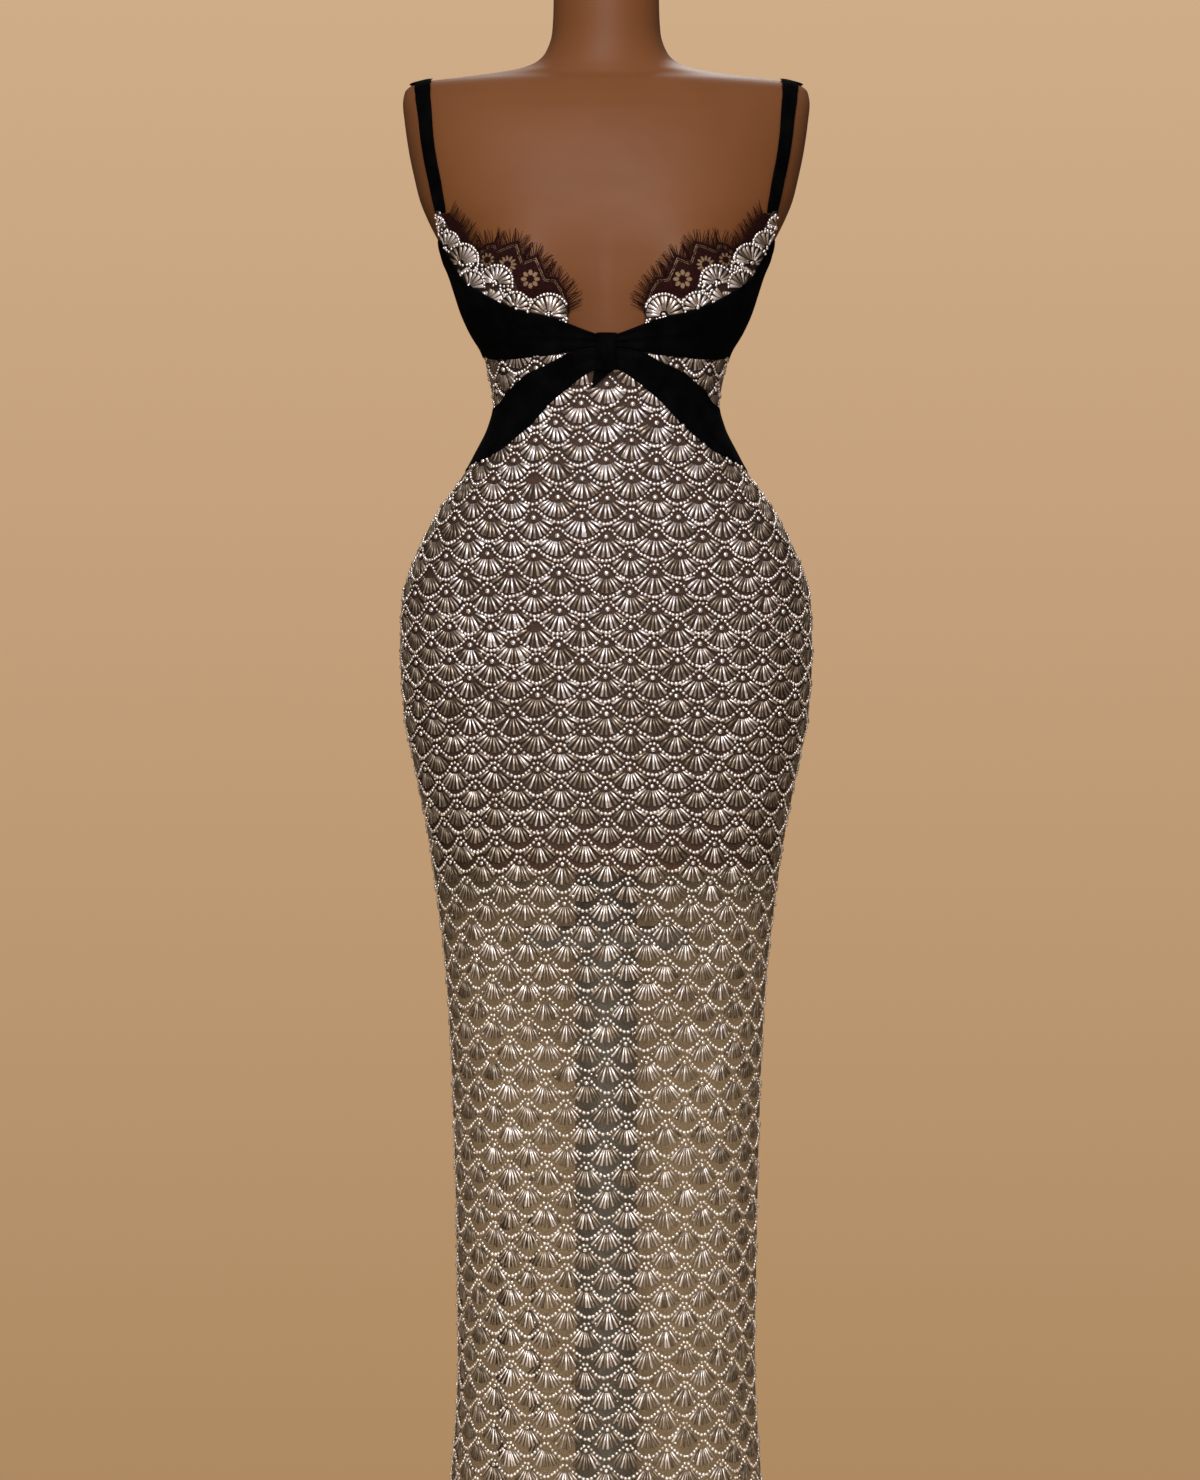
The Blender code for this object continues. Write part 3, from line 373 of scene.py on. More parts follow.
def highest_under(edge_height, angle, low, high):
    """The greatest height at one angle that still lies below an edge seen from the front."""
    levels = np.arange(high, low, -0.0004)
    across = np.abs(bare_body(np.full(len(levels), angle), levels)[:, 0])
    under = levels <= edge_height(across)
    if not under.any():
        return low
    return float(levels[np.argmax(under)])


def cup_top(angle):
    """Upper edge of the cup by angle: fans, then the armhole edge."""
    if angle >= ARMHOLE[0].angle:
        return float(height_by_angle(ARMHOLE)(angle)) - CUP_TUCK
    return highest_under(scallop_height, angle, FRONT_TOP + LAST_ROW_CLEARANCE, ARMHOLE[0].height)


def seam_angle(height, face="front"):
    """Where a panel of the front or back ends at the side seam, half a gap off 90 degrees."""
    half_gap = SEAM_GAP / 2.0 / PROFILE[face](height)
    return math.pi / 2.0 + (half_gap if face == "back" else -half_gap)


def between(low, top, share):
    return low + (top - low) * share


def blurred(values, reach):
    """A running mean over a column of directions, each end held."""
    kernel = np.full(2 * reach + 1, 1.0 / (2 * reach + 1))
    return np.stack([np.convolve(np.pad(values[:, axis], reach, mode="edge"), kernel, mode="valid")
                     for axis in (0, 1)], axis=1)


def square_to(path, reach):
    """Unit directions square to a path, pointing away from the cloth below it."""
    ahead = blurred(np.gradient(path, axis=0), reach)
    square = np.stack([-ahead[:, 1], ahead[:, 0]], axis=1)
    return square / np.linalg.norm(square, axis=1, keepdims=True)


def distances(line):
    """How far along a line of points each of them lies."""
    return np.concatenate([[0.0], np.cumsum(np.linalg.norm(np.diff(line, axis=0), axis=1))])


def sampled(where, lengths, line):
    """Points, or directions, of a line at given distances along it."""
    return np.stack([np.interp(where, lengths, column) for column in line.T], axis=1)


def even_path(outline, count):
    """Points spread evenly along an outline seen from the front."""
    corners = np.array(outline)
    lengths = distances(corners)
    return sampled(np.linspace(0.0, lengths[-1], count), lengths, corners)


# ------------------------ meshes from arrays


def build_mesh(name, points, faces):
    """A mesh from an array of points and an array of faces that all have as many corners."""
    points = np.asarray(points, np.float32).reshape(-1, 3)
    faces = np.asarray(faces, np.int32)
    count, corners = faces.shape
    mesh = bpy.data.meshes.new(name)
    mesh.vertices.add(len(points))
    mesh.vertices.foreach_set("co", points.ravel())
    mesh.loops.add(count * corners)
    mesh.loops.foreach_set("vertex_index", faces.ravel())
    mesh.polygons.add(count)
    mesh.polygons.foreach_set("loop_start", np.arange(0, count * corners, corners, dtype=np.int32))
    mesh.update(calc_edges=True)
    return mesh


def add_piece(name, mesh, material, replaced=None, smooth=True):
    piece = bpy.data.objects.new(name, mesh)
    bpy.context.scene.collection.objects.link(piece)
    mesh.materials.append(material)
    if smooth:
        mesh.shade_smooth()
    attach(piece, GOWN)
    if replaced:
        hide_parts(replaced)
    return piece


def grid_quads(numbers):
    """Quads over a grid of point numbers."""
    return np.stack([numbers[:-1, :-1], numbers[:-1, 1:], numbers[1:, 1:], numbers[1:, :-1]], axis=-1)


def ring_quads(rows, columns):
    """Quads of a tube whose rings of points follow one another."""
    grid = np.arange(rows * columns).reshape(rows, columns)
    after = np.roll(grid, -1, axis=1)
    return np.stack([grid[:-1], after[:-1], after[1:], grid[1:]], axis=-1).reshape(-1, 4)


def capped_tube(name, rings):
    """A closed mesh of rings, with quads round a middle point at both ends."""
    rows, columns = rings.shape[:2]
    grid = np.arange(rows * columns).reshape(rows, columns)
    pairs = np.arange(0, columns, 2)
    caps = [np.stack([ring[pairs], ring[pairs + 1], ring[(pairs + 2) % columns],
                      np.full(len(pairs), middle)], axis=-1)
            for ring, middle in ((grid[0], grid.size), (grid[-1], grid.size + 1))]
    points = np.concatenate([rings.reshape(-1, 3), [rings[0].mean(axis=0), rings[-1].mean(axis=0)]])
    faces = np.concatenate([ring_quads(rows, columns), caps[0][:, ::-1], caps[1]])
    return build_mesh(name, points, faces)


def sided(points, faces, side):
    """Points and faces as drawn, or mirrored to the other side of the centre line."""
    if side < 0:
        return points * (-1.0, 1.0, 1.0), faces[:, ::-1]
    return points, faces


def sheet_faces(rows, columns):
    """Quads of a closed thin sheet: outer layer, inner layer, then the rims of its four edges."""
    outer = np.arange(rows * columns).reshape(rows, columns)
    inner = outer + rows * columns
    layers = [grid_quads(outer).reshape(-1, 4), grid_quads(inner).reshape(-1, 4)[:, ::-1]]
    lines = ((outer[0], inner[0]), (outer[-1, ::-1], inner[-1, ::-1]),
             (outer[:, -1], inner[:, -1]), (outer[::-1, 0], inner[::-1, 0]))
    rims = [np.stack([above[1:], above[:-1], below[:-1], below[1:]], axis=-1) for above, below in lines]
    return np.concatenate(layers + rims)


def sheet_mesh(name, outer, inner, side=1):
    """A closed thin sheet between two grids that run by height, then by rising angle."""
    grids = [np.array(outer), np.array(inner)]
    if side < 0:
        grids = [(grid * (-1.0, 1.0, 1.0))[:, ::-1] for grid in grids]
    rows, columns = grids[0].shape[:2]
    return build_mesh(name, np.stack(grids), sheet_faces(rows, columns))


def grid_size(grid):
    """Greatest width and height of a grid of points, measured along its lines."""
    across = np.linalg.norm(np.diff(grid, axis=1), axis=2).sum(axis=1).max()
    along = np.linalg.norm(np.diff(grid, axis=0), axis=2).sum(axis=0).max()
    return float(across), float(along)


def cloth_area(mesh):
    """Area of one layer of a closed sheet."""
    areas = np.empty(len(mesh.polygons))
    mesh.polygons.foreach_get("area", areas)
    return float(areas.sum()) / 2.0


def cloth_piece(name, outer, inner, material, node, side=1):
    """A thin sheet in place of a CAD node, and its greatest width and length."""
    mesh = sheet_mesh(name, outer, inner, side)
    return add_piece(name, mesh, material, node), grid_size(outer)


def declare_cloth(piece, size, held, rests_on, with_pieces=()):
    """Works out one layer's flat area of the piece, no more than its greatest width times its length;
    the result is not kept.
    """
    area = min(cloth_area(piece.data), size[0] * size[1])


def scatter(name, form, places, axes, shades, material, smooth=False,
            gap_painted_shade=1.0):
    """One mesh of many copies of a small form, each with its own place, axes and shade.

    The points of the form that lie on the cloth take the shade times the foot factor. Below 1 it paints
    a shade at each bead's foot, which darkens the gaps between neighbouring beads.
    """
    points, faces = form
    count = len(places)
    copies = places[:, None, :] + np.einsum("va,nab->nvb", points, axes)
    shifts = np.arange(count)[:, None, None] * len(points)
    mesh = build_mesh(name, copies, (faces[None] + shifts).reshape(-1, faces.shape[1]))
    # Painted shade at the foot of each bead, which darkens the gaps between beads.
    foot = np.where(points[:, 2] < 0.1, gap_painted_shade, 1.0)
    shade = mesh.attributes.new("shade", "FLOAT", "POINT")
    shade.data.foreach_set("value", (shades[:, None] * foot).ravel().astype(np.float32))
    return add_piece(name, mesh, material, smooth=smooth)


def unit(vectors):
    return vectors / np.linalg.norm(vectors, axis=-1, keepdims=True)


# ------------------------ node materials


class Tree:
    """A node tree and short calls to build it."""

    def __init__(self, tree):
        self.nodes = tree.nodes
        self.links = tree.links

    def node(self, kind, feeds=None, **settings):
        """A node with its settings; feeds maps input names to values or to other outputs."""
        made = self.nodes.new("ShaderNode" + kind)
        for setting, value in settings.items():
            setattr(made, setting, value)
        for socket, value in (feeds or {}).items():
            self.put(value, made.inputs[socket])
        return made

    def put(self, value, socket):
        """Links an output to a socket, or sets the socket to a plain value."""
        if isinstance(value, bpy.types.NodeSocket):
            self.links.new(value, socket)
        else:
            socket.default_value = value

    def ramp(self, value, stops):
        """A colour ramp through stops of (position, colour)."""
        ramp = self.node("ValToRGB", {"Fac": value})
        elements = ramp.color_ramp.elements
        while len(elements) < len(stops):
            elements.new(0.5)
        for element, (position, colour) in zip(elements, stops):
            element.position = position
            element.color = (*colour, 1.0)
        return ramp.outputs["Color"]

    def rescaled(self, value, low, high, to_low, to_high):
        return self.node("MapRange", {"Value": value, "From Min": low, "From Max": high,
                                      "To Min": to_low, "To Max": to_high}).outputs["Result"]

    def combined(self, operation, first, second):
        return self.node("Math", {0: first, 1: second}, operation=operation).outputs["Value"]


class Look(Tree):
    """A procedural material: one Principled shader and short calls to feed it."""

    def __init__(self, name, **constants):
        self.material = bpy.data.materials.new(name)
        self.material.use_nodes = True
        super().__init__(self.material.node_tree)
        self.shader = self.nodes["Principled BSDF"]
        for socket, value in constants.items():
            self.shader.inputs[socket.replace("_", " ")].default_value = value

    def feed(self, socket, output):
        self.links.new(output, self.shader.inputs[socket])

    def place(self, stretch=(1.0, 1.0, 1.0)):
        """Object coordinates in metres, stretched by axis."""
        where = self.node("TexCoord").outputs["Object"]
        return self.node("Mapping", {"Vector": where, "Scale": stretch}).outputs["Vector"]

    def height(self):
        """Height above the floor, in metres."""
        return self.node("SeparateXYZ", {"Vector": self.place()}).outputs["Z"]

    def noise(self, scale, detail=3.0, stretch=(1.0, 1.0, 1.0)):
        return self.node("TexNoise", {"Vector": self.place(stretch), "Scale": scale,
                                      "Detail": detail}).outputs["Fac"]

    def mottle(self, dark, light, scale, detail=3.0):
        """A colour that drifts between two that lie close together."""
        self.feed("Base Color", self.ramp(self.noise(scale, detail), [(0.3, dark), (0.7, light)]))

    def wear(self, low, high, scale, detail=3.0, stretch=(1.0, 1.0, 1.0)):
        """A roughness that drifts between two values."""
        self.feed("Roughness", self.rescaled(self.noise(scale, detail, stretch), 0.3, 0.7, low, high))

    def bump(self, value, strength, distance):
        made = self.node("Bump", {"Height": value, "Strength": strength, "Distance": distance})
        self.feed("Normal", made.outputs["Normal"])


def plain_look(name, mottle, wear=None, grain=None, **constants):
    """A look of one mottled colour, with uneven gloss and a fine grain where they are given."""
    look = Look(name, **constants)
    look.mottle(*mottle)
    if wear:
        look.wear(*wear)
    if grain:
        scale, detail, strength, distance = grain
        look.bump(look.noise(scale, detail), strength, distance)
    return look.material


def tulle_look(name, colour, thread, cells=800.0, least=0.03, most=0.64, lining=None):
    """Fine net: a web of threads, clear between them. A lining closes it below the form and glows
    faintly, a painted light.
    """
    look = Look(name, Roughness=0.70, Specular_IOR_Level=0.25,
                Emission_Strength=LINING_PAINTED_GLOW if lining else 0.0)
    web = look.node("TexVoronoi", {"Vector": look.place(), "Scale": cells},
                    feature="DISTANCE_TO_EDGE").outputs["Distance"]
    threads = look.rescaled(web, 0.04, 0.04 + thread, most, least)
    cover = look.combined("MULTIPLY", threads, look.rescaled(look.height(), 0.68, 0.78, 0.52, 1.0))
    if lining:
        lined = look.rescaled(look.height(), *LINING_EDGE, LINING_COVER, 0.0)
        cover = look.combined("ADD", cover, lined)
        # Below its edge the lining glows faintly in its own colour, a painted light.
        for socket, above in (("Base Color", colour), ("Emission Color", (0.0, 0.0, 0.0))):
            look.feed(socket, look.ramp(look.height(), list(zip(LINING_EDGE, (lining, above)))))
    else:
        look.mottle(tuple(0.75 * part for part in colour), colour, 90.0)
    look.feed("Alpha", cover)
    look.bump(web, 0.2, 0.0002)
    return look.material


def bead_look(name, dark, middle, light, metallic, roughness):
    """Silver-lined glass: each bead has its own shade, which also carries painted glints and painted
    shade, with a little variation along it.
    """
    look = Look(name, Metallic=metallic, Specular_IOR_Level=0.7)
    shade = look.node("Attribute", attribute_name="shade").outputs["Fac"]
    cloudy = look.combined("ADD", shade, look.rescaled(look.noise(420.0), 0.3, 0.7, -0.12, 0.12))
    glass = look.ramp(cloudy, [(0.0, dark), (0.5, middle), (1.0, light)])
    # Painted light: beads below the waist are tinted warmer, as if lit by warm light bounced from below.
    painted_light_tint = look.ramp(look.height(), [(0.75, (1.0, 0.985, 0.93)), (0.95, (1.0, 0.985, 0.985))])
    with_painted_tint = look.node("Mix", {0: 1.0}, data_type="RGBA", blend_type="MULTIPLY")
    look.put(glass, with_painted_tint.inputs[6])
    look.put(painted_light_tint, with_painted_tint.inputs[7])
    look.feed("Base Color", with_painted_tint.outputs[2])
    look.wear(roughness - 0.07, roughness + 0.09, 900.0, 1.0)
    return look.material


def lace_look():
    look = Look("lace_thread", Roughness=0.85, Specular_IOR_Level=0.06)
    look.mottle((0.0060, 0.0014, 0.0014), (0.0240, 0.0055, 0.0050), 700.0, 2.0)
    weave = look.node("TexWave", {"Vector": look.place((1.0, 1.0, 1.4)), "Scale": 900.0,
                                  "Distortion": 6.0, "Detail": 2.0}).outputs["Fac"]
    look.bump(weave, 0.4, 0.0003)
    return look.material


def zip_tape_look():
    look = Look("zip_tape_weave", Roughness=0.8, Specular_IOR_Level=0.25)
    weave = look.node("TexWave", {"Vector": look.place(), "Scale": 420.0, "Distortion": 1.0},
                      bands_direction="Z").outputs["Fac"]
    look.feed("Base Color", look.ramp(weave, [(0.2, (0.15, 0.12, 0.095)), (0.8, (0.26, 0.22, 0.18))]))
    look.bump(weave, 0.5, 0.0003)
    return look.material


TAUPE = (0.050, 0.037, 0.031)
NUDE = (0.58, 0.42, 0.235)
LINING_COVER = 0.80
LINING_EDGE = (0.69, 0.74)
# How brightly the lining glows, a painted light.
LINING_PAINTED_GLOW = 0.13
TULLE = tulle_look("taupe_tulle", TAUPE, 0.14)
BACK_TULLE = tulle_look("lined_tulle", TAUPE, 0.14, lining=NUDE)
LACE_TULLE = tulle_look("lace_ground", (0.29, 0.18, 0.10), 0.20, cells=1500.0, least=0.40, most=0.80)
VELVET = plain_look("velvet", ((0.0008, 0.0008, 0.0009), (0.0026, 0.0024, 0.0027), 60.0, 4.0),
                    grain=(2600.0, 2.0, 0.35, 0.0004), Roughness=0.95, Specular_IOR_Level=0.01,
                    Sheen_Weight=0.02, Sheen_Roughness=0.40, Sheen_Tint=(0.12, 0.11, 0.13, 1.0))
LACE = lace_look()
# The bugles' dark end is tan, partly a painted reflection of a tan wall on the beads darkened at the
# sides.
BUGLE = bead_look("bugle_glass", (0.16, 0.125, 0.090), (0.43, 0.36, 0.30), (1.0, 0.95, 0.98), 0.80, 0.42)
SEED = bead_look("seed_glass", (0.60, 0.52, 0.46), (1.0, 0.93, 0.91), (1.0, 0.98, 0.99), 0.85, 0.34)
STONE = bead_look("stone_glass", (0.42, 0.36, 0.32), (0.76, 0.68, 0.63), (0.99, 0.96, 0.96), 0.75, 0.20)
SKIN = plain_look("form_satin", ((0.133, 0.048, 0.0155), (0.157, 0.058, 0.0200), 7.0, 5.0),
                  (0.50, 0.58, 5.0, 2.0), (1500.0, 2.0, 0.03, 0.0002), Specular_IOR_Level=0.16)
COAT = plain_look("stand_coat", ((0.235, 0.210, 0.155), (0.290, 0.260, 0.195), 35.0, 5.0),
                  (0.38, 0.55, 500.0), (1800.0, 1.0, 0.10, 0.0003),
                  Metallic=0.25, Specular_IOR_Level=0.5)
NICKEL = plain_look("zip_nickel", ((0.50, 0.48, 0.44), (0.66, 0.64, 0.60), 300.0),
                    (0.22, 0.40, 1200.0, 2.0, (1.0, 1.0, 0.1)), Metallic=1.0)
ZIP_TAPE = zip_tape_look()
FLOOR_PAINT = plain_look("floor_paint", ((0.62, 0.53, 0.42), (0.68, 0.58, 0.46), 3.0, 5.0),
                         Roughness=0.85, Specular_IOR_Level=0.2)


# ------------------------ the form and stand

# Rows of the form's skin, from height to height, closer over the shoulders.
FORM_ROWS = ((FORM_BOTTOM, 1.40, 112), (1.40, 1.47, 36), (1.47, SECTION_HEIGHTS[-1], 14))


def make_form():
    """The dress form: one smooth skin of rings, with a flat underside and neck top."""
    heights = np.unique(np.concatenate([np.linspace(*rows) for rows in FORM_ROWS]))
    angles = np.linspace(0.0, 2.0 * math.pi, 108, endpoint=False)
    mesh = capped_tube("form_skin", bare_body(angles[None, :], heights[:, None]))
    mesh.set_sharp_from_angle(angle=math.radians(50.0))
    add_piece("form_skin", mesh, SKIN, "form_torso")


STAND_NODES = ("stand_base", "stand_column", "stand_bracket", "stand_neck")
ZIP_METAL_NODES = ("zip_slider", "zip_pull_tab")


def coat_nodes(names, material):
    """CAD pieces that keep their own shape and get their look."""
    for name in names:
        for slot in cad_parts[name].material_slots:
            slot.material = material


# ------------------------ cloth of the gown

NET_OUT = NET_LIFT + NET_WALL
NET_THICK = 0.0004
HEM_TURN = 0.012
HEM_STEP = 0.0006
NET_ROW = 0.0105
VELVET_OUT = VELVET_LIFT + VELVET_WALL
ROLLED_EDGE = 0.0016
ROLLED_THIN = 0.25
LINING_FOLLOWS = 0.8
STITCHING = 0.00018
KNOT_END_CREASE = 0.0004
# Main gathers at the knot: how many, and how deep.
WING_FOLDS = (2.5, 0.0020)
TAIL_FOLDS = (2.0, 0.0017)
BAND_DRAG = 0.0005
ZIP_FOOT_CLEARANCE = 0.006
# How far below the band's upper edge the back net ends, and its last row but one.
BACK_TOP_TUCK = 0.003
BACK_ROW_TUCK = 0.008


def crowded(count, ends=0.35):
    """Shares from 0 to 1, closer together at both ends, where an edge is rolled."""
    even = np.linspace(0.0, 1.0, count + 1)
    return (1.0 - ends) * even + ends * (0.5 - 0.5 * np.cos(math.pi * even))


def smooth_step(value, low, high):
    part = np.clip((value - low) / (high - low), 0.0, 1.0)
    return part * part * (3.0 - 2.0 * part)


# Skirt flutes: share of the depth, number round the body, start, and drift by height.
FLUTES = ((0.50, 7.0, 0.0, 2.0), (0.32, 13.0, 1.3, -3.0), (0.18, 21.0, 0.4, 5.0))
FLUTE_DEPTH = 0.0024
FLUTES_FADE = (0.05, 0.66)


def flutes(angle, height):
    """Soft uneven flutes of the hanging skirt, none where the net lies on the form."""
    wave = sum(share * np.cos(count * angle + start + drift * height)
               for share, count, start, drift in FLUTES)
    return FLUTE_DEPTH * (1.0 - smooth_step(height, *FLUTES_FADE)) * wave


def net_heights(top):
    """Rows of a net panel: two for the turned hem, then even ones."""
    rows = np.linspace(HEM_HEIGHT + HEM_TURN, top, int((top - HEM_HEIGHT) / NET_ROW))
    return np.concatenate([[HEM_HEIGHT, HEM_HEIGHT + HEM_TURN - HEM_STEP], rows])


def net_sheet(name, angles, heights, node, material, side=1):
    """A net panel: a thin sheet, doubled at the hem, in soft flutes below the form."""
    lift = NET_OUT + flutes(angles, heights)
    hem = np.where(heights < HEM_HEIGHT + HEM_TURN - HEM_STEP / 2.0, NET_THICK, 0.0)
    outer = body(angles, heights, lift + hem)
    inner = body(angles, heights, lift - NET_THICK - hem)
    return cloth_piece(name, outer, inner, material, node, side)


def make_front_panel():
    heights = net_heights(FRONT_TOP)[:, None]
    angles = seam_angle(heights) * np.linspace(-1.0, 1.0, 77)
    return net_sheet("front_panel", angles, heights, "net_front", TULLE)


def make_back_panel(side, word):
    foot = ZIP_END - ZIP_FOOT_CLEARANCE
    slot_levels = np.linspace(foot + 0.0005, BAND_UPPER[-1].height - BACK_ROW_TUCK, 38)
    levels = np.concatenate([net_heights(foot), slot_levels])[:, None]
    gap = np.where(levels > foot, ZIP_SLOT, SEAM_GAP / 2.0)
    angles = between(seam_angle(levels, "back"), angle_at(gap, levels, behind=True),
                     np.linspace(0.0, 1.0, 43))
    angles = np.vstack([angles, angles[-1]])
    under_band = height_by_angle(BAND_UPPER)(angles[-1]) - BACK_TOP_TUCK
    heights = np.vstack([levels + np.zeros(len(under_band)), under_band])
    return net_sheet("back_panel_" + word, angles, heights, "net_back_" + word, BACK_TULLE, side)


def cup_edges(columns):
    """Angles across a cup and the height of its scalloped upper edge."""
    inner = float(angle_at(CUP_INNER, CUP_NOTCHES[0].height, NET_LIFT))
    angles = np.linspace(inner, seam_angle(BUST_HEIGHT), columns)
    return angles, np.array([cup_top(angle) for angle in angles])


def make_cup(side, word):
    angles, tops = cup_edges(120)
    heights = between(FRONT_TOP + CUP_SEAM_GAP, tops, crowded(30)[:, None])
    outer = body(angles, heights, NET_OUT)
    inner = body(angles, heights, NET_OUT - NET_THICK)
    return cloth_piece("cup_net_" + word, outer, inner, TULLE, "cup_" + word, side)


def velvet_piece(name, outer, inner, node, side=1):
    return cloth_piece(name, outer, inner, VELVET, node, side)


def velvet_sheet(name, angles, heights, folds, side):
    """Velvet with rolled edges: folds stand out from the layer's lift."""
    inner = body(angles, heights, VELVET_LIFT + LINING_FOLLOWS * folds)
    flat = body(angles, heights, VELVET_LIFT)
    down = np.linalg.norm(flat - flat[:1], axis=2)
    up = np.linalg.norm(flat - flat[-1:], axis=2)
    near = np.clip(np.minimum(down, up) / ROLLED_EDGE, 0.0, 1.0)
    wall = VELVET_WALL * np.maximum(ROLLED_THIN, np.sqrt(1.0 - (1.0 - near) ** 2))
    outer = body(angles, heights, VELVET_LIFT + folds + wall)
    return velvet_piece(name, outer, inner, "velvet_" + name, side)[0], grid_size(flat)


def gather(along, across, folds, depth, reach=0.75):
    """Soft folds that run out of the knot and fade along the piece."""
    fade = np.clip(1.0 - along / reach, 0.0, 1.0) ** 2
    return depth * fade * (0.5 - 0.5 * np.cos(2.0 * math.pi * folds * across))


def uneven_folds(along, across, folds, depth, phase):
    """The main gathers with finer, shorter and less even ones between them."""
    drift = across + 0.05 * np.sin(5.0 * along + phase)
    fine = gather(along, drift + 0.07, 2.7 * folds, 0.45 * depth, 0.45)
    late = gather(np.abs(along - 0.42) + 0.15, drift * (1.0 + 0.25 * along) + 0.21 * phase,
                  1.6 * folds, 0.35 * depth, 0.60)
    edge = np.sin(math.pi * np.clip(across, 0.0, 1.0)) ** 0.5
    return (gather(along, drift, folds, depth) + fine + late) * edge


def edge_grid(low_angles, low_heights, top_angles, top_heights, rows):
    """Angles, heights and shares of the rise between a lower and an upper edge."""
    rise = crowded(rows)[:, None]
    return between(low_angles, top_angles, rise), between(low_heights, top_heights, rise), rise


def wing_grid(columns, rows):
    """Angles, heights, shares along and shares up a wing, from its lower to its upper edge."""
    seam = seam_angle(BUST_HEIGHT)
    corner = math.radians(WING_CORNER)
    upper = [pair for pair in outline_by_angle(WING_UPPER, VELVET_OUT) if pair[0] < corner]
    upper += [turn for turn in ARMHOLE if turn.angle > corner]
    lower = [pair for pair in outline_by_angle(WING_LOWER, VELVET_OUT) if pair[0] < math.radians(80.0)]
    lower.append((math.pi / 2.0, WING_SIDE_LOW))
    along = np.linspace(0.0, 1.0, columns + 1)
    lines = []
    for edge in (lower, upper):
        angles = between(edge[0][0], seam, along)
        lines += [angles, height_by_angle(edge)(angles)]
    angles, heights, rise = edge_grid(*lines, rows)
    return angles, heights, along, rise


def tail_grid(columns, rows):
    """Angles, heights, shares along and shares up a tie tail, from the knot to the side seam."""
    seam = seam_angle(TAIL_SEAM_TOP)
    stations = np.arange(len(TAIL) + 1)
    upper = [Edge(stop.upper_across, stop.upper_height) for stop in TAIL]
    lower = [Edge(stop.lower_across, stop.lower_height) for stop in TAIL]
    along = np.linspace(0.0, 1.0, columns + 1)
    lines = []
    for edge, last in ((lower, TAIL_SEAM_LOW), (upper, TAIL_SEAM_TOP)):
        pairs = outline_by_angle(edge, VELVET_OUT) + [(seam, last)]
        lines += [smooth_curve(stations, column)(along * stations[-1]) for column in zip(*pairs)]
    angles, heights, rise = edge_grid(*lines, rows)
    return angles, heights, along, rise


def make_wing(side, word):
    angles, heights, along, rise = wing_grid(96, 34)
    folds = uneven_folds(along, rise, *WING_FOLDS, 0.6 + 0.5 * side)
    return velvet_sheet("wing_" + word, angles, heights, folds, side)


def make_tail(side, word):
    angles, heights, along, rise = tail_grid(96, 26)
    folds = uneven_folds(along, rise, *TAIL_FOLDS, 1.9 - 0.4 * side)
    return velvet_sheet("tail_" + word, angles, heights, folds, side)


def make_band(side, word):
    middle = float(angle_at(ZIP_SLOT + 0.0003, BAND_UPPER[-1].height, behind=True))
    angles = np.linspace(seam_angle(BUST_HEIGHT, "back"), middle, 61)
    lower, upper = (height_by_angle(edge)(angles) for edge in (BAND_LOWER, BAND_UPPER))
    angles, heights, rise = edge_grid(angles, lower, angles, upper, 22)
    drag = BAND_DRAG * np.sin(math.pi * rise) * (1.0 + np.sin(9.0 * angles + 4.0 * rise))
    return velvet_sheet("band_" + word, angles, heights, drag, side)


def make_strap(side, word):
    """A velvet strap: its wall swells a little between two stitched edges."""
    angles = [float(angle_at(stop.across, stop.height, STRAP_LIFT, stop.behind)) for stop in STRAP]
    heights = [stop.height for stop in STRAP]
    stations = np.arange(len(STRAP))
    fine = np.linspace(0.0, stations[-1], 500)
    centre, normal = body_frame(smooth_curve(stations, angles)(fine),
                                smooth_curve(stations, heights)(fine), STRAP_LIFT)
    lengths = distances(centre)
    where = np.linspace(0.0, lengths[-1], 131)
    path = sampled(where, lengths, centre)
    outward = unit(sampled(where, lengths, normal))
    sideways = unit(np.cross(np.gradient(path, axis=0), outward))
    across = np.linspace(-1.0, 1.0, 11)
    roll = STRAP_WALL * np.maximum(0.3, np.sqrt(np.clip(1.0 - np.abs(across) ** 6, 0.0, 1.0)))
    stitching = STITCHING * np.exp(-((np.abs(across) - 0.72) / 0.10) ** 2)
    inner = path[:, None] + sideways[:, None] * (STRAP_WIDTH / 2.0 * across)[:, None]
    outer = inner + outward[:, None] * (roll - stitching)[:, None]
    piece, _ = velvet_piece("strap_velvet_" + word, outer, inner, "strap_" + word, side)
    return piece, (STRAP_WIDTH, float(lengths[-1]))


def knot_line(across, height, lift):
    """Points over the middle of the front, by distance from the centre line to either side."""
    return body(np.sign(across) * angle_at(across, height), height, lift)


def make_knot():
    """The wrapped knot: a bulged loop with creases that run over it."""
    rings = []
    turn = np.linspace(-math.pi / 2.0, math.pi / 2.0, 41)
    for share in np.linspace(0.0, 1.0, 33):
        height = between(KNOT_LOW, KNOT_TOP, share)
        swell = math.sin(math.pi * (0.10 + 0.80 * share)) ** 0.6
        half = KNOT_HALF_WIDTH * (0.90 + 0.10 * abs(2.0 * share - 1.0))
        creases = 1.0 - 0.10 * (0.5 + 0.5 * np.cos(9.0 * turn + 2.2 * share)) * math.sin(math.pi * share)
        bulge = KNOT_BULGE * swell * np.cos(turn) ** 0.8 * creases
        front = knot_line(half * np.sin(turn), height, VELVET_LIFT + KNOT_EDGE_LIFT + bulge)
        back = knot_line(half * np.linspace(0.75, -0.75, 7), height, VELVET_LIFT)
        rings.append(np.vstack([front, back]))
    rings = np.array(rings)
    piece = add_piece("knot", capped_tube("knot", rings), VELVET, "tie_knot")
    return piece, (float(distances(rings[len(rings) // 2])[-1]), KNOT_TOP - KNOT_LOW)


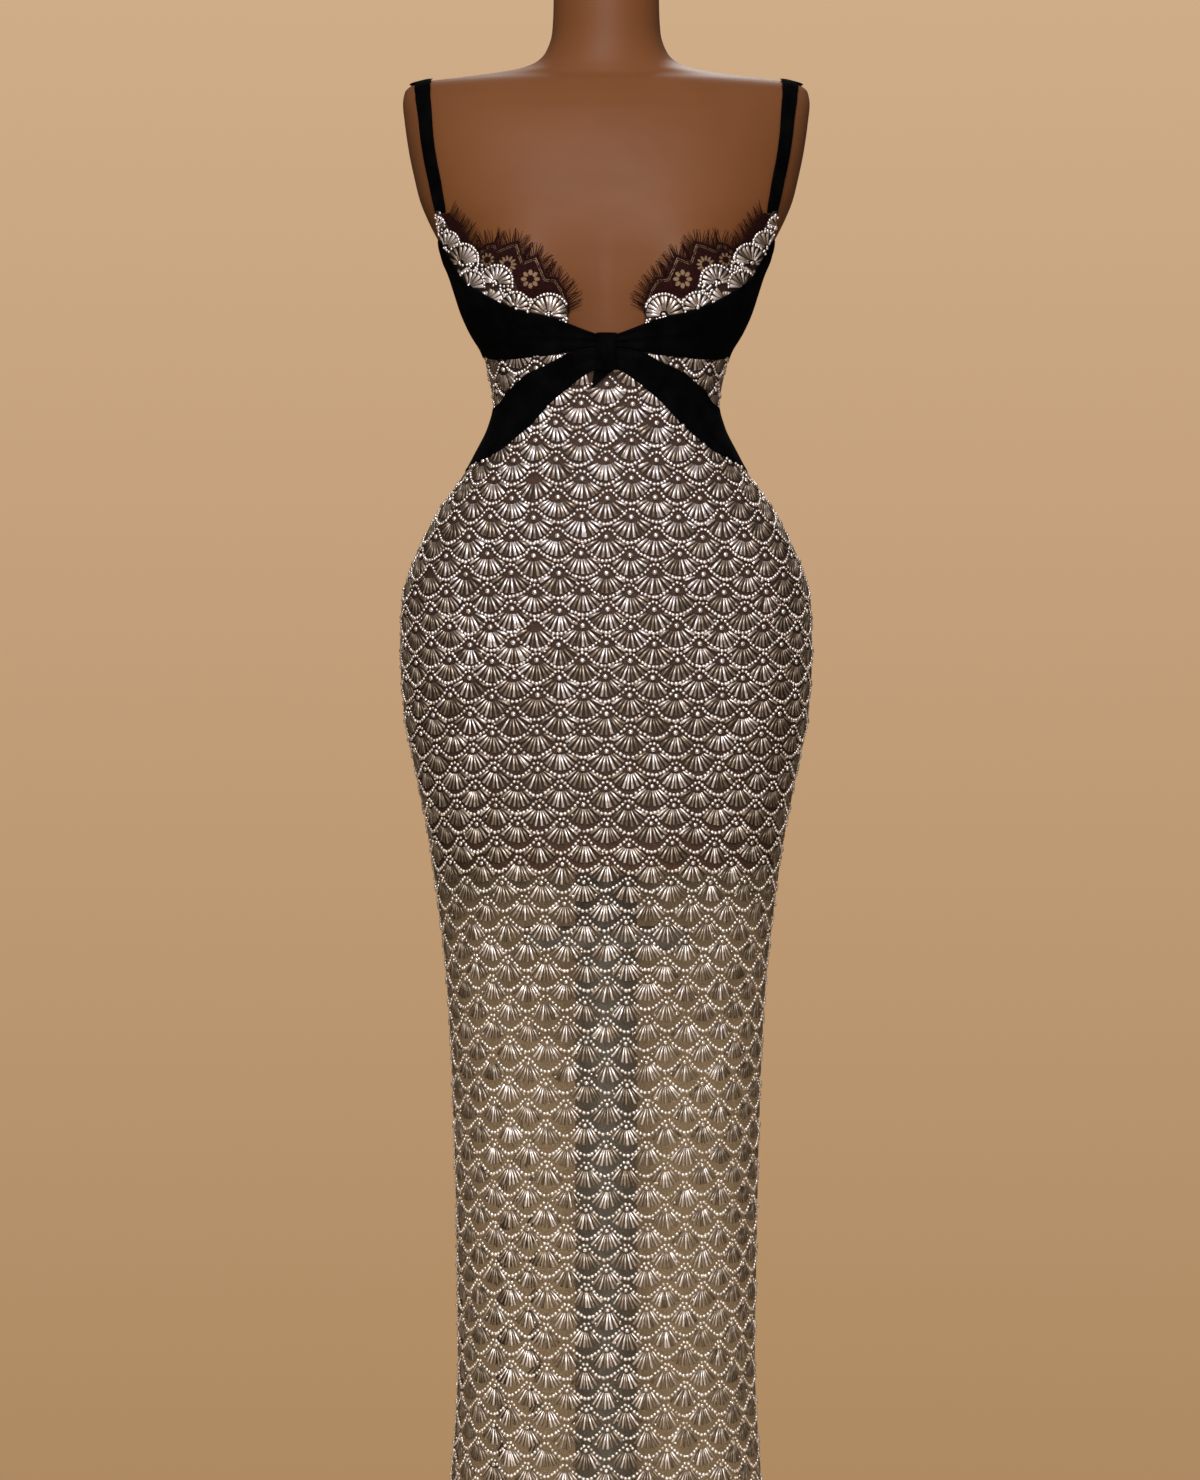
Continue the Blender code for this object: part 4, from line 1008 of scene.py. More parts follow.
def make_knot_end():
    left, right, low_right, low_left = np.array(KNOT_END)
    share = np.linspace(0.0, 1.0, 19)[:, None]
    rise = np.linspace(0.0, 1.0, 15)[:, None, None]
    outline = between(between(low_left, low_right, share), between(left, right, share), rise)
    across, heights = outline[..., 0], outline[..., 1]
    crease = KNOT_END_CREASE * np.sin(math.pi * share.T) * np.cos(14.0 * share.T + 2.0 * rise[:, 0])
    inner = knot_line(across, heights, KNOT_END_LIFT)
    outer = knot_line(across, heights, KNOT_END_LIFT + VELVET_WALL + crease)
    return velvet_piece("knot_end", outer, inner, "tie_knot_end")


# ------------------------ laying beads on the net

# The bead pattern is a half-drop lattice. A row's stones hang in every second column, and the
# next row's in the columns between. Rows are counted from the waist down, and the columns'
# spacing narrows from the hips to the knee.
ROW_MARKS = [(-2.0, 1.1895), (0.0, 1.1554), (8.0, 1.0203), (12.0, 0.9561), (16.0, 0.8968),
             (20.0, 0.8324), (24.0, 0.7676), (28.0, 0.6986), (32.0, 0.6286), (36.0, 0.5570),
             (40.0, 0.4835), (44.0, 0.4100), (46.0, 0.3754), (67.0, 0.0058)]
# Tables of (height, value), read by linear steps.
COLUMN_MARKS = [(0.0, 0.0186), (0.28, 0.0178), (0.66, 0.0178), (0.75, 0.0198), (0.86, 0.0205),
                (0.95, 0.0208), (1.00, 0.0216), (1.05, 0.0212), (1.12, 0.0202), (1.26, 0.0196)]
FAN_ROOT_SPREAD = 68.0
FAN_SPREAD = [(0.0, 46.0), (0.60, 47.0), (0.75, 55.0), (0.86, 64.0), (1.20, 65.0)]
FAN_COUNT = [(0.0, 7.6), (0.70, 8.0), (0.90, 8.6), (1.20, 9.0)]
FAN_INNER = [(0.0, 0.0027), (0.70, 0.0031), (0.90, 0.0044), (1.00, 0.0050)]
FAN_SIDES_SHORT = 0.60
BUGLE_WIDTH = [(0.0, 0.0021), (0.60, 0.0021), (0.80, 0.0023), (1.00, 0.0026), (1.20, 0.0031)]
FAN_OUTER = [(0.0, 0.0172), (0.76, 0.0172), (0.90, 0.0178), (1.20, 0.0180)]
# Middle shade of the bugles by height; those of the bodice are painted lighter, a painted light from
# above.
BUGLE_SHADE_PAINTED_LIGHTER_ABOVE = [(0.0, 0.47), (0.70, 0.51), (0.95, 0.52), (1.12, 0.74)]
# How much darker the beads are painted at the sides, a painted shade.
SIDE_PAINTED_SHADE = 0.62
# Painted shade at the foot of the bugles' flanks, dark in the gaps between them.
BUGLE_PAINTED_GAP_SHADE = -0.2
# Share of bugles painted white as painted glints, by height; more on the bodice, as if lit from above.
BUGLE_PAINTED_GLINTS = [(0.0, 0.12), (0.95, 0.12), (1.12, 0.30)]
ARCH_RADIUS = [(0.0, 0.0044), (0.70, 0.0048), (0.90, 0.0062), (1.00, 0.0067)]
CHAIN_DIP = [(0.0, 0.0076), (0.76, 0.0078), (0.86, 0.0057), (1.20, 0.0056)]
SEED_STEP = [(0.0, 0.0039), (0.80, 0.0037), (1.00, 0.0035)]
BEAD_REST = NET_OUT + 0.0001
UNDER_MARGIN = 0.0012

# How shades are drawn: their middle, their spread and the share of beads painted white as painted
# glints.
SEED_SHADES = (0.66, 0.34, 0.10)
STONE_SHADES = (0.7, 0.15, 0.05)
BUGLE_SHADE_SPREAD = 0.30
BUGLE_THICK = 0.0011
BUGLE_ROCK = 0.21
STONE_ROCK = 0.08

# Seed and stone sizes, counts, and the heights where they change.
LOOSE_SEED = 0.0021
CHAIN_SEED = 0.0029
DIP_SEED_GROWTH = 0.0006
STONE_SIZE_LOW = 0.0041
STONE_SIZE_HIGH = 0.0049
STONES_GROW_AT = 0.80
CHAIN_SPLIT = 0.62
SEAM_SEEDS = 520
CLUSTERS_BELOW = 0.78
MISSING_STONES = 0.02

# How far hand work strays: a fan's count, reach and turn, and the beads' places and sizes.
COUNT_STRAY = 0.5
REACH_STRAY = 0.0003
SHARE_STRAY = 0.025
TURN_STRAY = 0.03
WIDTH_STRAY = 0.00022
SEED_STRAY = 0.00018
SEED_SIZE_STRAY = 0.00026
STONE_STRAY = 0.0001

# Rows of the lattice, and the even step of those above the first row mark.
ROWS = range(-6, 68)
TOP_ROW_STEP = 0.0171
WAIST_WIDENING = 0.0022
PATTERN_REACH = 0.30

# How far the beads stay off the hem, the seams, the panel's top and the zip's slot.
HEM_MARGIN = 0.003
SEAM_MARGIN = 0.0010
TOP_MARGIN = 0.001
CLOSED_MARGIN = 0.0008
SLOT_MARGIN = 0.0006

ARC_STEP = 0.002
ARC_TOP = 1.330
ARC_ANGLES = np.linspace(0.0, math.pi / 2.0, 181)


def lookup(marks, place):
    """The value at a place, or at each of many, in a table of (place, value) marks."""
    return np.interp(place, *zip(*marks))


def arc_table(behind):
    """Distance round the body from the centre line, by height and by angle."""
    heights = np.arange(0.0, ARC_TOP, ARC_STEP)
    angles = math.pi - ARC_ANGLES if behind else ARC_ANGLES
    points = body(angles[None, :], heights[:, None], BEAD_REST)
    steps = np.linalg.norm(np.diff(points, axis=1), axis=2)
    return np.concatenate([np.zeros((len(heights), 1)), np.cumsum(steps, axis=1)], axis=1)


ARCS = {behind: arc_table(behind) for behind in (False, True)}


def seam_distance(height, behind):
    """How far the side seam lies from the centre line, round the body."""
    table = ARCS[behind]
    return np.interp(height, np.arange(len(table)) * ARC_STEP, table[:, -1])


def cloth_angle(across, height, behind):
    """Body angles of points given by distance from the centre line, round the body."""
    table = ARCS[behind]
    level = np.clip(height / ARC_STEP, 0.0, len(table) - 1.001)
    row = level.astype(int)
    turn = np.empty(across.shape)
    for each in np.unique(row):
        here = row == each
        near, far = (np.interp(np.abs(across[here]), table[line], ARC_ANGLES)
                     for line in (each, each + 1))
        turn[here] = between(near, far, level[here] - each)
    turn *= np.sign(across)
    return math.pi - turn if behind else turn


def velvet_edges():
    """Lower and upper edge of the wing and of the tail, as functions of the angle."""
    pairs = []
    for angles, heights, _, _ in (wing_grid(96, 2), tail_grid(96, 2)):
        pairs.append([lambda turn, a=angles[line], h=heights[line]: np.interp(turn, a, h)
                      for line in (0, -1)])
    return pairs


VELVET_EDGES = velvet_edges()
BAND_LOWER_EDGE = height_by_angle(BAND_LOWER)


def under_knot(angle, height):
    """Whether points lie behind the knot or its short end, or in the slit closed beside it."""
    across = body(angle, height, BEAD_REST)[..., 0]
    left, right, low_right, low_left = KNOT_END
    rise = (height - low_left.height) / (left.height - low_left.height)
    inside = (rise > 0.0) & (rise < 1.0) & (np.abs(angle) < math.pi / 2.0)
    inside &= across > between(low_left.across, left.across, rise)
    inside &= across < between(low_right.across, right.across, rise)
    knot = (np.abs(across) < KNOT_HALF_WIDTH) & (height > KNOT_LOW)
    slit = np.abs(height - WING_LOWER[2].height) < SLIT_HALF_HEIGHT
    slit &= np.abs(across) < CLOSED_BESIDE_KNOT
    return inside | ((knot | slit) & (np.abs(angle) < KNOT_SIDE_ANGLE))


def under_velvet(angle, height):
    """Whether points of the net are hidden by the velvet, more than a margin from its edge."""
    turn = np.abs(np.mod(angle + math.pi, 2.0 * math.pi) - math.pi)
    hidden = under_knot(angle, height)
    for low, top in VELVET_EDGES:
        hidden |= (height > low(turn) + UNDER_MARGIN) & (height < top(turn) - UNDER_MARGIN)
    behind = height > BAND_LOWER_EDGE(turn) + UNDER_MARGIN
    return np.where(turn <= math.pi / 2.0, hidden, behind)


def waver(across, height):
    """The hand-sewn pattern strays a little from its even grid."""
    return (across + 0.0007 * np.sin(61.0 * height + 37.0 * across) + 0.0004 * np.sin(173.0 * height),
            height + 0.0007 * np.sin(83.0 * across + 29.0 * height) + 0.0004 * np.sin(211.0 * across))


def net_beads(spots, behind):
    """Places and normals on the net, which of them lie on the panel, and which show."""
    across, height = waver(*spots.T)
    angle = cloth_angle(across, height, behind)
    places, normals = body_frame(angle, height, BEAD_REST + flutes(angle, height))
    held = np.abs(across) < seam_distance(height, behind) - SEAM_MARGIN
    held &= height > HEM_HEIGHT + HEM_MARGIN
    if behind:
        zip_edge = np.where(height > ZIP_END - ZIP_FOOT_CLEARANCE, ZIP_SLOT + SLOT_MARGIN, CLOSED_MARGIN)
        held &= np.abs(across) >= zip_edge
    else:
        held &= height < FRONT_TOP - TOP_MARGIN
    return places, normals, held, held & ~under_velvet(angle, height)


# ------------------------ bead forms


def prism_sides(count):
    """Triangles between two outlines of as many corners, one after the other."""
    faces = []
    for here in range(count):
        after = (here + 1) % count
        faces += [(here, here + count, after + count), (here, after + count, after)]
    return faces


def bugle_form():
    """A flattened glass tube with sloping flanks, one unit long, narrower at its inner end."""
    section = ((-0.66, 0.0), (-0.42, 1.0), (0.42, 1.0), (0.66, 0.0))
    points = [(x * width, along, z) for along, width in ((0.0, 0.55), (1.0, 1.0)) for x, z in section]
    return np.array(points), np.array([(0, 1, 2), (0, 2, 3), (4, 6, 5), (4, 7, 6)] + prism_sides(4))


def seed_form():
    """A small round bead, its hole along y: two poles and two staggered rings of four."""
    points = [(0.0, -0.5, 0.5)]
    for ring, along in enumerate((-0.22, 0.22)):
        for corner in range(4):
            turn = math.pi / 2.0 * corner + math.pi / 4.0 * ring
            points.append((0.5 * math.cos(turn), along, 0.5 + 0.5 * math.sin(turn)))
    points.append((0.0, 0.5, 0.5))
    faces = []
    for corner in range(4):
        after = (corner + 1) % 4
        near, near_after, far, far_after = 1 + corner, 1 + after, 5 + corner, 5 + after
        faces += [(0, near, near_after), (near, far, near_after), (near_after, far, far_after),
                  (9, far_after, far)]
    return np.array(points), np.array(faces)


def stone_form():
    """A faceted stone: a table, a crown of kites and a flat back."""
    points = []
    for radius, height, shift in ((0.44, 0.0, 0.5), (0.50, 0.45, 0.5), (0.27, 1.0, 0.0)):
        for corner in range(8):
            turn = math.pi / 4.0 * (corner + shift)
            points.append((radius * math.cos(turn), radius * math.sin(turn), height))
    faces = []
    for corner in range(8):
        after = (corner + 1) % 8
        faces += [(corner, after, 8 + after), (corner, 8 + after, 8 + corner)]
        faces += [(8 + corner, 16 + after, 16 + corner), (8 + corner, 8 + after, 16 + after)]
    for corner in range(1, 7):
        faces += [(0, corner + 1, corner), (16, 16 + corner, 17 + corner)]
    return np.array(points), np.array(faces)


BUGLE_FORM = bugle_form()
SEED_FORM = seed_form()
STONE_FORM = stone_form()


def bead_axes(along, normal, width, length, thick):
    """Axes of beads that lie along a direction on the cloth, with their sizes."""
    along = unit(along)
    sideways = unit(np.cross(along, normal))
    axes = (sideways, along, np.cross(sideways, along))
    sizes = [np.broadcast_to(size, len(along))[:, None] for size in (width, length, thick)]
    return np.stack([axis * size for axis, size in zip(axes, sizes)], axis=1)


def tilt(axes_normal, along, spread):
    """Normals rocked at random about the bead's own length, so that each catches the light."""
    sideways = unit(np.cross(along, axes_normal))
    rock = RNG.normal(0.0, spread, len(along))[:, None]
    return unit(axes_normal + sideways * rock)


# ------------------------ the pattern of fans and chains


def lattice(behind):
    """Stones of the pattern: distance from the centre line and height, one line each."""
    stones = []
    for row in ROWS:
        height = lookup(ROW_MARKS, row) + TOP_ROW_STEP * max(0.0, ROW_MARKS[0][0] - row)
        spacing = lookup(COLUMN_MARKS, height)
        widen = 0.0 if behind else WAIST_WIDENING * smooth_step(height, 1.04, 1.10)
        reach = int(PATTERN_REACH / spacing)
        for column in range(-reach, reach + 1):
            if (column + row) % 2:
                continue
            place = column + 0.5 if behind else column
            stones.append((place * spacing + widen * np.clip(place, -2.0, 2.0), height))
    return np.array(stones)


def ray(turn):
    """Directions turned aside from straight up, as seen from the front."""
    return np.stack([np.sin(turn), np.cos(turn)], axis=-1)


def fan_beads(stones):
    """Inner and outer ends of every bugle, as rows of (across, height)."""
    inner = []
    outer = []
    for stone in stones:
        height = stone[1]
        count = int(round(lookup(FAN_COUNT, height) + RNG.normal(0.0, COUNT_STRAY)))
        spread = math.radians(lookup(FAN_SPREAD, height))
        reach = lookup(FAN_OUTER, height) + RNG.normal(0.0, REACH_STRAY)
        share = np.linspace(-1.0, 1.0, count) + RNG.normal(0.0, SHARE_STRAY, count)
        root = math.radians(FAN_ROOT_SPREAD) * share
        turn = spread * share + RNG.normal(0.0, TURN_STRAY)
        start = lookup(FAN_INNER, height) * (1.0 + FAN_SIDES_SHORT * share ** 2)
        start += np.abs(RNG.normal(0.0, REACH_STRAY, count))
        inner.append(stone + start[:, None] * ray(math.pi - root))
        outer.append(stone + reach * ray(math.pi - turn))
    return np.concatenate(inner), np.concatenate(outer)


def even_points(line, step):
    """Points spread along a line at about a step, with the direction of the line at each."""
    lengths = distances(line)
    where = np.linspace(0.0, lengths[-1], max(2, int(round(lengths[-1] / step)) + 1))[:-1]
    points = sampled(where, lengths, line)
    return points, sampled(where + 0.5 * step, lengths, line) - points


def chain_line(height, spacing):
    """A chain as seen from its stone: in an arch over it, then down to a dip and up again."""
    arch_turn = np.radians(np.linspace(158.0, 22.0, 15))
    arch = lookup(ARCH_RADIUS, height) * np.stack([np.cos(arch_turn), np.sin(arch_turn)], axis=1)
    start = arch[-1]
    dip = lookup(CHAIN_DIP, height)
    share = np.linspace(0.0, 1.0, 19)[1:]
    sag = np.abs(2.0 * share - 1.0) ** 1.7
    swoop = np.stack([start[0] + (2.0 * spacing - 2.0 * start[0]) * share,
                      (dip + start[1]) * sag - dip], axis=1)
    return np.concatenate([arch, swoop])


def chain_beads(stones):
    """Seed beads of every chain, with the way that each lies and its size."""
    points = []
    aheads = []
    sizes = []
    for stone in stones:
        height = stone[1]
        line = chain_line(height, lookup(COLUMN_MARKS, height)) + stone
        spots, ahead = even_points(line, lookup(SEED_STEP, height))
        low = np.clip((height - spots[:, 1]) / lookup(CHAIN_DIP, height), 0.0, 1.0)
        points.append(spots + RNG.normal(0.0, SEED_STRAY, spots.shape))
        aheads.append(ahead)
        sizes.append(CHAIN_SEED + DIP_SEED_GROWTH * low + RNG.normal(0.0, SEED_SIZE_STRAY, len(spots)))
    return np.concatenate(points), np.concatenate(aheads), np.concatenate(sizes)


def cluster_beads(stones):
    """Loose seed beads above the arches of the lower skirt, and a few all over."""
    points = []
    for stone in stones:
        count = 2 if stone[1] < CLUSTERS_BELOW else 1
        turn = RNG.uniform(0.15 * math.pi, 0.85 * math.pi, count)
        away = RNG.uniform(0.0085, 0.0125, count)
        points.append(stone + away[:, None] * ray(math.pi / 2.0 - turn))
    return np.concatenate(points)


def side_seam_beads(behind):
    """Scattered seed beads along the side seams, where the fans are cut off."""
    height = RNG.uniform(HEM_HEIGHT + 0.004, 1.18, SEAM_SEEDS)
    inset = 0.0015 + np.abs(RNG.normal(0.0, 0.006, SEAM_SEEDS))
    across = (seam_distance(height, behind) - inset) * RNG.choice([-1.0, 1.0], SEAM_SEEDS)
    return np.stack([across, height], axis=1)


def random_shades(count, middle, spread, painted_glint_share):
    """How bright each bead is drawn, 0 to 1, by its glass's own tone. A share of them is painted white
    as painted glints.
    """
    shades = RNG.normal(middle, spread, count)
    return np.where(RNG.random(count) < painted_glint_share, 1.0, np.clip(shades, 0.05, 0.95))


def painted_side_shade(shades, places):
    """Painted shade: beads are drawn darker where the net turns round the sides of the body, where less
    light falls.
    """
    out = np.abs(places[:, 0]) / PROFILE["half_width"](places[:, 2])
    return np.clip(shades - SIDE_PAINTED_SHADE * smooth_step(out, 0.70, 1.0), 0.0, 1.0)


def bugle_piece(name, inner, outer, behind):
    near, normal, near_held, near_shown = net_beads(inner, behind)
    far, _, far_held, far_shown = net_beads(outer, behind)
    shown = near_held & far_held & (near_shown | far_shown)
    heights = inner[shown, 1]
    near, along = near[shown], (far - near)[shown]
    normal = tilt(normal[shown], along, BUGLE_ROCK)
    width = lookup(BUGLE_WIDTH, heights) + RNG.normal(0.0, WIDTH_STRAY, len(near))
    axes = bead_axes(along, normal, width, np.linalg.norm(along, axis=1), BUGLE_THICK)
    shades = random_shades(len(near), lookup(BUGLE_SHADE_PAINTED_LIGHTER_ABOVE, heights), BUGLE_SHADE_SPREAD,
                           lookup(BUGLE_PAINTED_GLINTS, heights))
    return scatter(name, BUGLE_FORM, near, axes, painted_side_shade(shades, near), BUGLE,
                   gap_painted_shade=BUGLE_PAINTED_GAP_SHADE)


def seed_piece(name, spots, aheads, sizes, behind):
    places, normal, _, shown = net_beads(spots, behind)
    along = (net_beads(spots + aheads, behind)[0] - places)[shown]
    places, sizes = places[shown], sizes[shown]
    axes = bead_axes(along, normal[shown], sizes, 1.12 * sizes, 0.80 * sizes)
    shades = painted_side_shade(random_shades(len(places), *SEED_SHADES), places)
    return scatter(name, SEED_FORM, places, axes, shades, SEED, smooth=True)


def stone_piece(name, stones, behind):
    kept = stones[RNG.random(len(stones)) > MISSING_STONES]
    places, normal, _, shown = net_beads(kept, behind)
    places, normal = places[shown], normal[shown]
    turn = RNG.uniform(0.0, 2.0 * math.pi, len(places))[:, None]
    level = unit(np.cross((0.0, 0.0, 1.0), normal))
    along = level * np.cos(turn) + np.cross(normal, level) * np.sin(turn)
    normal = tilt(normal, along, STONE_ROCK)
    size = np.where(kept[shown, 1] > STONES_GROW_AT, STONE_SIZE_HIGH, STONE_SIZE_LOW)
    size = size + RNG.normal(0.0, STONE_STRAY, len(places))
    axes = bead_axes(along, normal, size, size, 0.36 * size)
    return scatter(name, STONE_FORM, places, axes, random_shades(len(places), *STONE_SHADES), STONE)


def bead_net(behind):
    """All the beads of the front panel or of the two back panels."""
    word = "back" if behind else "front"
    stones = lattice(behind)
    inner, outer = fan_beads(stones)
    pieces = [bugle_piece("bugles_" + word, inner, outer, behind),
              stone_piece("stones_" + word, stones, behind)]
    points, aheads, sizes = chain_beads(stones)
    upper = points[:, 1] >= CHAIN_SPLIT
    for part, here in (("upper", upper), ("lower", ~upper)):
        pieces.append(seed_piece("chains_%s_%s" % (part, word), points[here], aheads[here],
                                 sizes[here], behind))
    loose = np.concatenate([cluster_beads(stones), side_seam_beads(behind)])
    away = RNG.normal(0.0, 0.001, loose.shape)
    pieces.append(seed_piece("seeds_" + word, loose, away, np.full(len(loose), LOOSE_SEED), behind))
    return pieces


# ------------------------ beaded cups

# Beads of the cups, and how the rays of a fan are shared out over its radius.
CUP_SEED = 0.0028
CUP_BUGLE_WIDTH = 0.0031
CUP_BUGLE_THICK = 0.0012
CUP_BUGLE_ROCK = 0.15
# Cup beads' shades: middle, spread, and the share painted white as painted glints.
CUP_BUGLE_SHADES = (0.66, 0.22, 0.20)
CUP_SEED_SHADES = (0.62, 0.2, 0.10)
RAYS_A_METRE = 620.0
RIM_REACH = 0.97
RAY_START = 0.22
RAY_REACHES = (0.40, 0.55, 0.70, 0.86)

# The fan that lies over the others, and a second row that shows above the velvet.
FRONT_FAN = Scallop(0.1179, 1.2435, 0.0150)
LOW_FANS = [Scallop(0.1030, 1.2290, 0.0170), Scallop(0.1310, 1.2560, 0.0150),
            Scallop(0.0650, 1.2120, 0.0130)]
CUP_FANS = [FRONT_FAN] + SCALLOPS + LOW_FANS


def on_front(spots):
    """Places and normals on the cup's net of points seen from the front, on either side."""
    across, height = spots.T
    return body_frame(np.sign(across) * angle_at(across, height), height, BEAD_REST)


def inside_fans(spots, fans, low=-0.30):
    """Which front-view points lie on fans: in their discs, above a level just below the middle."""
    inside = np.zeros(len(spots), bool)
    for fan in fans:
        away = (spots - fan[:2]) / fan.radius
        inside |= (np.hypot(away[:, 0], away[:, 1]) < 0.94) & (away[:, 1] > low)
    return inside


def cup_fans(side):
    """Ends of the bugles and places of the seeds of the fans that stand up along the cup."""
    near = []
    far = []
    seeds = []
    for order, fan in enumerate(CUP_FANS):
        middle = fan[:2]
        over = CUP_FANS[:order]
        count = max(5, int(round(fan.radius * RAYS_A_METRE)))
        rays = ray(np.linspace(-1.45, 1.45, count) - 0.15 + RNG.normal(0.0, 0.02, count)) * fan.radius
        reach = np.zeros(count)
        for share in RAY_REACHES:
            reach = np.where(~inside_fans(rays * share + middle, over), share, reach)
        kept = reach > 0.0
        near.append((rays * RAY_START + middle)[kept])
        far.append((rays * reach[:, None] + middle)[kept])
        rim = ray(np.arange(-1.66, 1.62, CUP_SEED / fan.radius)) * RIM_REACH * fan.radius + middle
        seeds += [rim[~inside_fans(rim, over)], RNG.normal(0.0, 0.0014, (5, 2)) + middle]
    return [np.concatenate(points) * (side, 1.0) for points in (near, far, seeds)]


def cup_filling(side):
    """Seed beads strewn over the cup between its fans."""
    across, height = np.meshgrid(np.arange(0.036, 0.162, CUP_SEED), np.arange(1.196, 1.320, CUP_SEED))
    spots = np.stack([across.ravel(), height.ravel()], axis=1)
    spots += RNG.uniform(-0.4, 0.4, spots.shape) * CUP_SEED
    return spots[~inside_fans(spots, CUP_FANS, -0.12)] * (side, 1.0)


def on_cup(spots, margin=0.0008):
    """Which front-view points lie on the cup below its edge, and which of them show."""
    height = spots[:, 1]
    angle = angle_at(spots[:, 0], height)
    tops = np.interp(angle, CUP_ANGLES, CUP_TOPS)
    held = (angle > CUP_ANGLES[0]) & (angle < CUP_ANGLES[-1] - 0.02)
    held &= (height < tops - margin) & (height > FRONT_TOP)
    return held, held & ~under_velvet(angle, height)


def bead_cup(side, word):
    near, far, edge_seeds = cup_fans(side)
    near_held, near_shown = on_cup(near, -0.002)
    far_held, far_shown = on_cup(far, -0.001)
    shown = near_held & far_held & (near_shown | far_shown)
    starts, normal = on_front(near[shown])
    along = on_front(far[shown])[0] - starts
    axes = bead_axes(along, tilt(normal, along, CUP_BUGLE_ROCK), CUP_BUGLE_WIDTH,
                     np.linalg.norm(along, axis=1), CUP_BUGLE_THICK)
    bugles = scatter("cup_bugles_" + word, BUGLE_FORM, starts, axes,
                     random_shades(len(starts), *CUP_BUGLE_SHADES), BUGLE, gap_painted_shade=BUGLE_PAINTED_GAP_SHADE)
    filling = cup_filling(side)
    spots = np.concatenate([edge_seeds[on_cup(edge_seeds, -0.0015)[1]], filling[on_cup(filling)[1]]])
    places, normal = on_front(spots)
    along = unit(np.cross(normal, RNG.normal(0.0, 1.0, normal.shape)))
    size = CUP_SEED + RNG.normal(0.0, SEED_STRAY, len(places))
    axes = bead_axes(along, normal, size, 1.1 * size, 0.8 * size)
    seeds = scatter("cup_seeds_" + word, SEED_FORM, places, axes,
                    random_shades(len(places), *CUP_SEED_SHADES), SEED, smooth=True)
    return [bugles, seeds]


# ------------------------ eyelash lace

Flower = namedtuple("Flower", "across height radius petals")
FLOWERS = [Flower(*row) for row in (
    (0.0668, 1.2462, 0.0088, 8), (0.0872, 1.2596, 0.0088, 12), (0.1050, 1.2655, 0.0070, 9))]

# The lace's cord, ground and work, then its lashes, in metres and shares of a length.
LACE_CORD = 0.0011
LACE_CORD_RISE = 0.0007
LACE_GROUND_WALL = 0.0003
LACE_WORK_RISE = 0.0004
LACE_WORK_WALL = 0.0005
LASH_COUNT = 128
LASH_GROUP = 5.0
LASH_LEAN = (0.0, 0.50)
LASH_LENGTH = 0.0112
LASH_LENGTH_WAVE = 0.0016
LASH_LIFT = 0.0008
LASH_BEND = 0.22
LASH_ROOT = 0.0006
LASH_RISE = 0.0022
LASH_THICK = 0.00043
LASH_TAPER = 0.55
LASH_SHARES = np.linspace(0.0, 1.0, 6)

# Open slots along the lace's edge: distance from it, and half width.
TRELLIS_LINES = [(0.0019, 0.00032), (0.0033, 0.00032)]
TRELLIS_END = 0.1180

# The lace's hidden lower edge, behind the beaded cup and its outer strip.
LACE_LOWER = edges(
    (0.0350, 1.2080), (0.0500, 1.2150), (0.0800, 1.2240), (0.0950, 1.2400), (0.1120, 1.2510),
    (0.1250, 1.2630), (0.1370, 1.2780), (0.1440, 1.2920), (0.1500, 1.3070))


def lace_grid(columns, rows):
    """Angles and heights of the lace, from behind the cup's edge to its own stepped edge."""
    hidden, upper = even_path(LACE_LOWER, columns + 1), even_path(LACE_UPPER, columns + 1)
    seen = between(hidden, upper, np.linspace(0.0, 1.0, rows + 1)[:, None, None])
    return angle_at(seen[..., 0], seen[..., 1]), seen[..., 1]


def petal_holes(across, height):
    """True inside the open petals of the flowers."""
    hole = np.zeros(across.shape, bool)
    for flower in FLOWERS:
        x = across - flower.across
        y = height - flower.height
        turn = np.arctan2(y, x)
        away = np.hypot(x, y)
        step = 2.0 * math.pi / flower.petals
        off = np.mod(turn + step / 2.0, step) - step / 2.0
        along = (away * np.cos(off) - 0.66 * flower.radius) / (0.30 * flower.radius)
        aside = away * np.sin(off) / (1.75 / flower.petals * flower.radius)
        hole |= along ** 2 + aside ** 2 < 1.0
    return hole


def edge_distance(across, height):
    """Distance from the lace's stepped upper edge, as seen from the front."""
    spots = np.stack([across, height], axis=-1)
    corners = np.array(LACE_UPPER)
    best = np.full(across.shape, 1.0)
    for start, end in zip(corners, corners[1:]):
        step = end - start
        share = np.clip((spots - start) @ step / (step @ step), 0.0, 1.0)[..., None]
        best = np.minimum(best, np.linalg.norm(spots - start - share * step, axis=-1))
    return best


def trellis_holes(across, height):
    """True in the narrow slots that follow the edge, bridged every few millimetres."""
    away = edge_distance(across, height)
    bridged = np.mod(across * 1000.0 + height * 400.0, 7.3) < 0.5
    slot = np.zeros(across.shape, bool)
    for middle, half in TRELLIS_LINES:
        slot |= np.abs(away - middle) < half
    return slot & ~bridged & (across < TRELLIS_END)


def make_lace(side, word):
    """The sheer ground of the lace."""
    angles, heights = lace_grid(110, 32)
    inner = body(angles, heights, LACE_LIFT)
    outer = body(angles, heights, LACE_LIFT + LACE_GROUND_WALL)
    return cloth_piece("lace_ground_" + word, outer, inner, LACE_TULLE, "lace_" + word,
                       side)


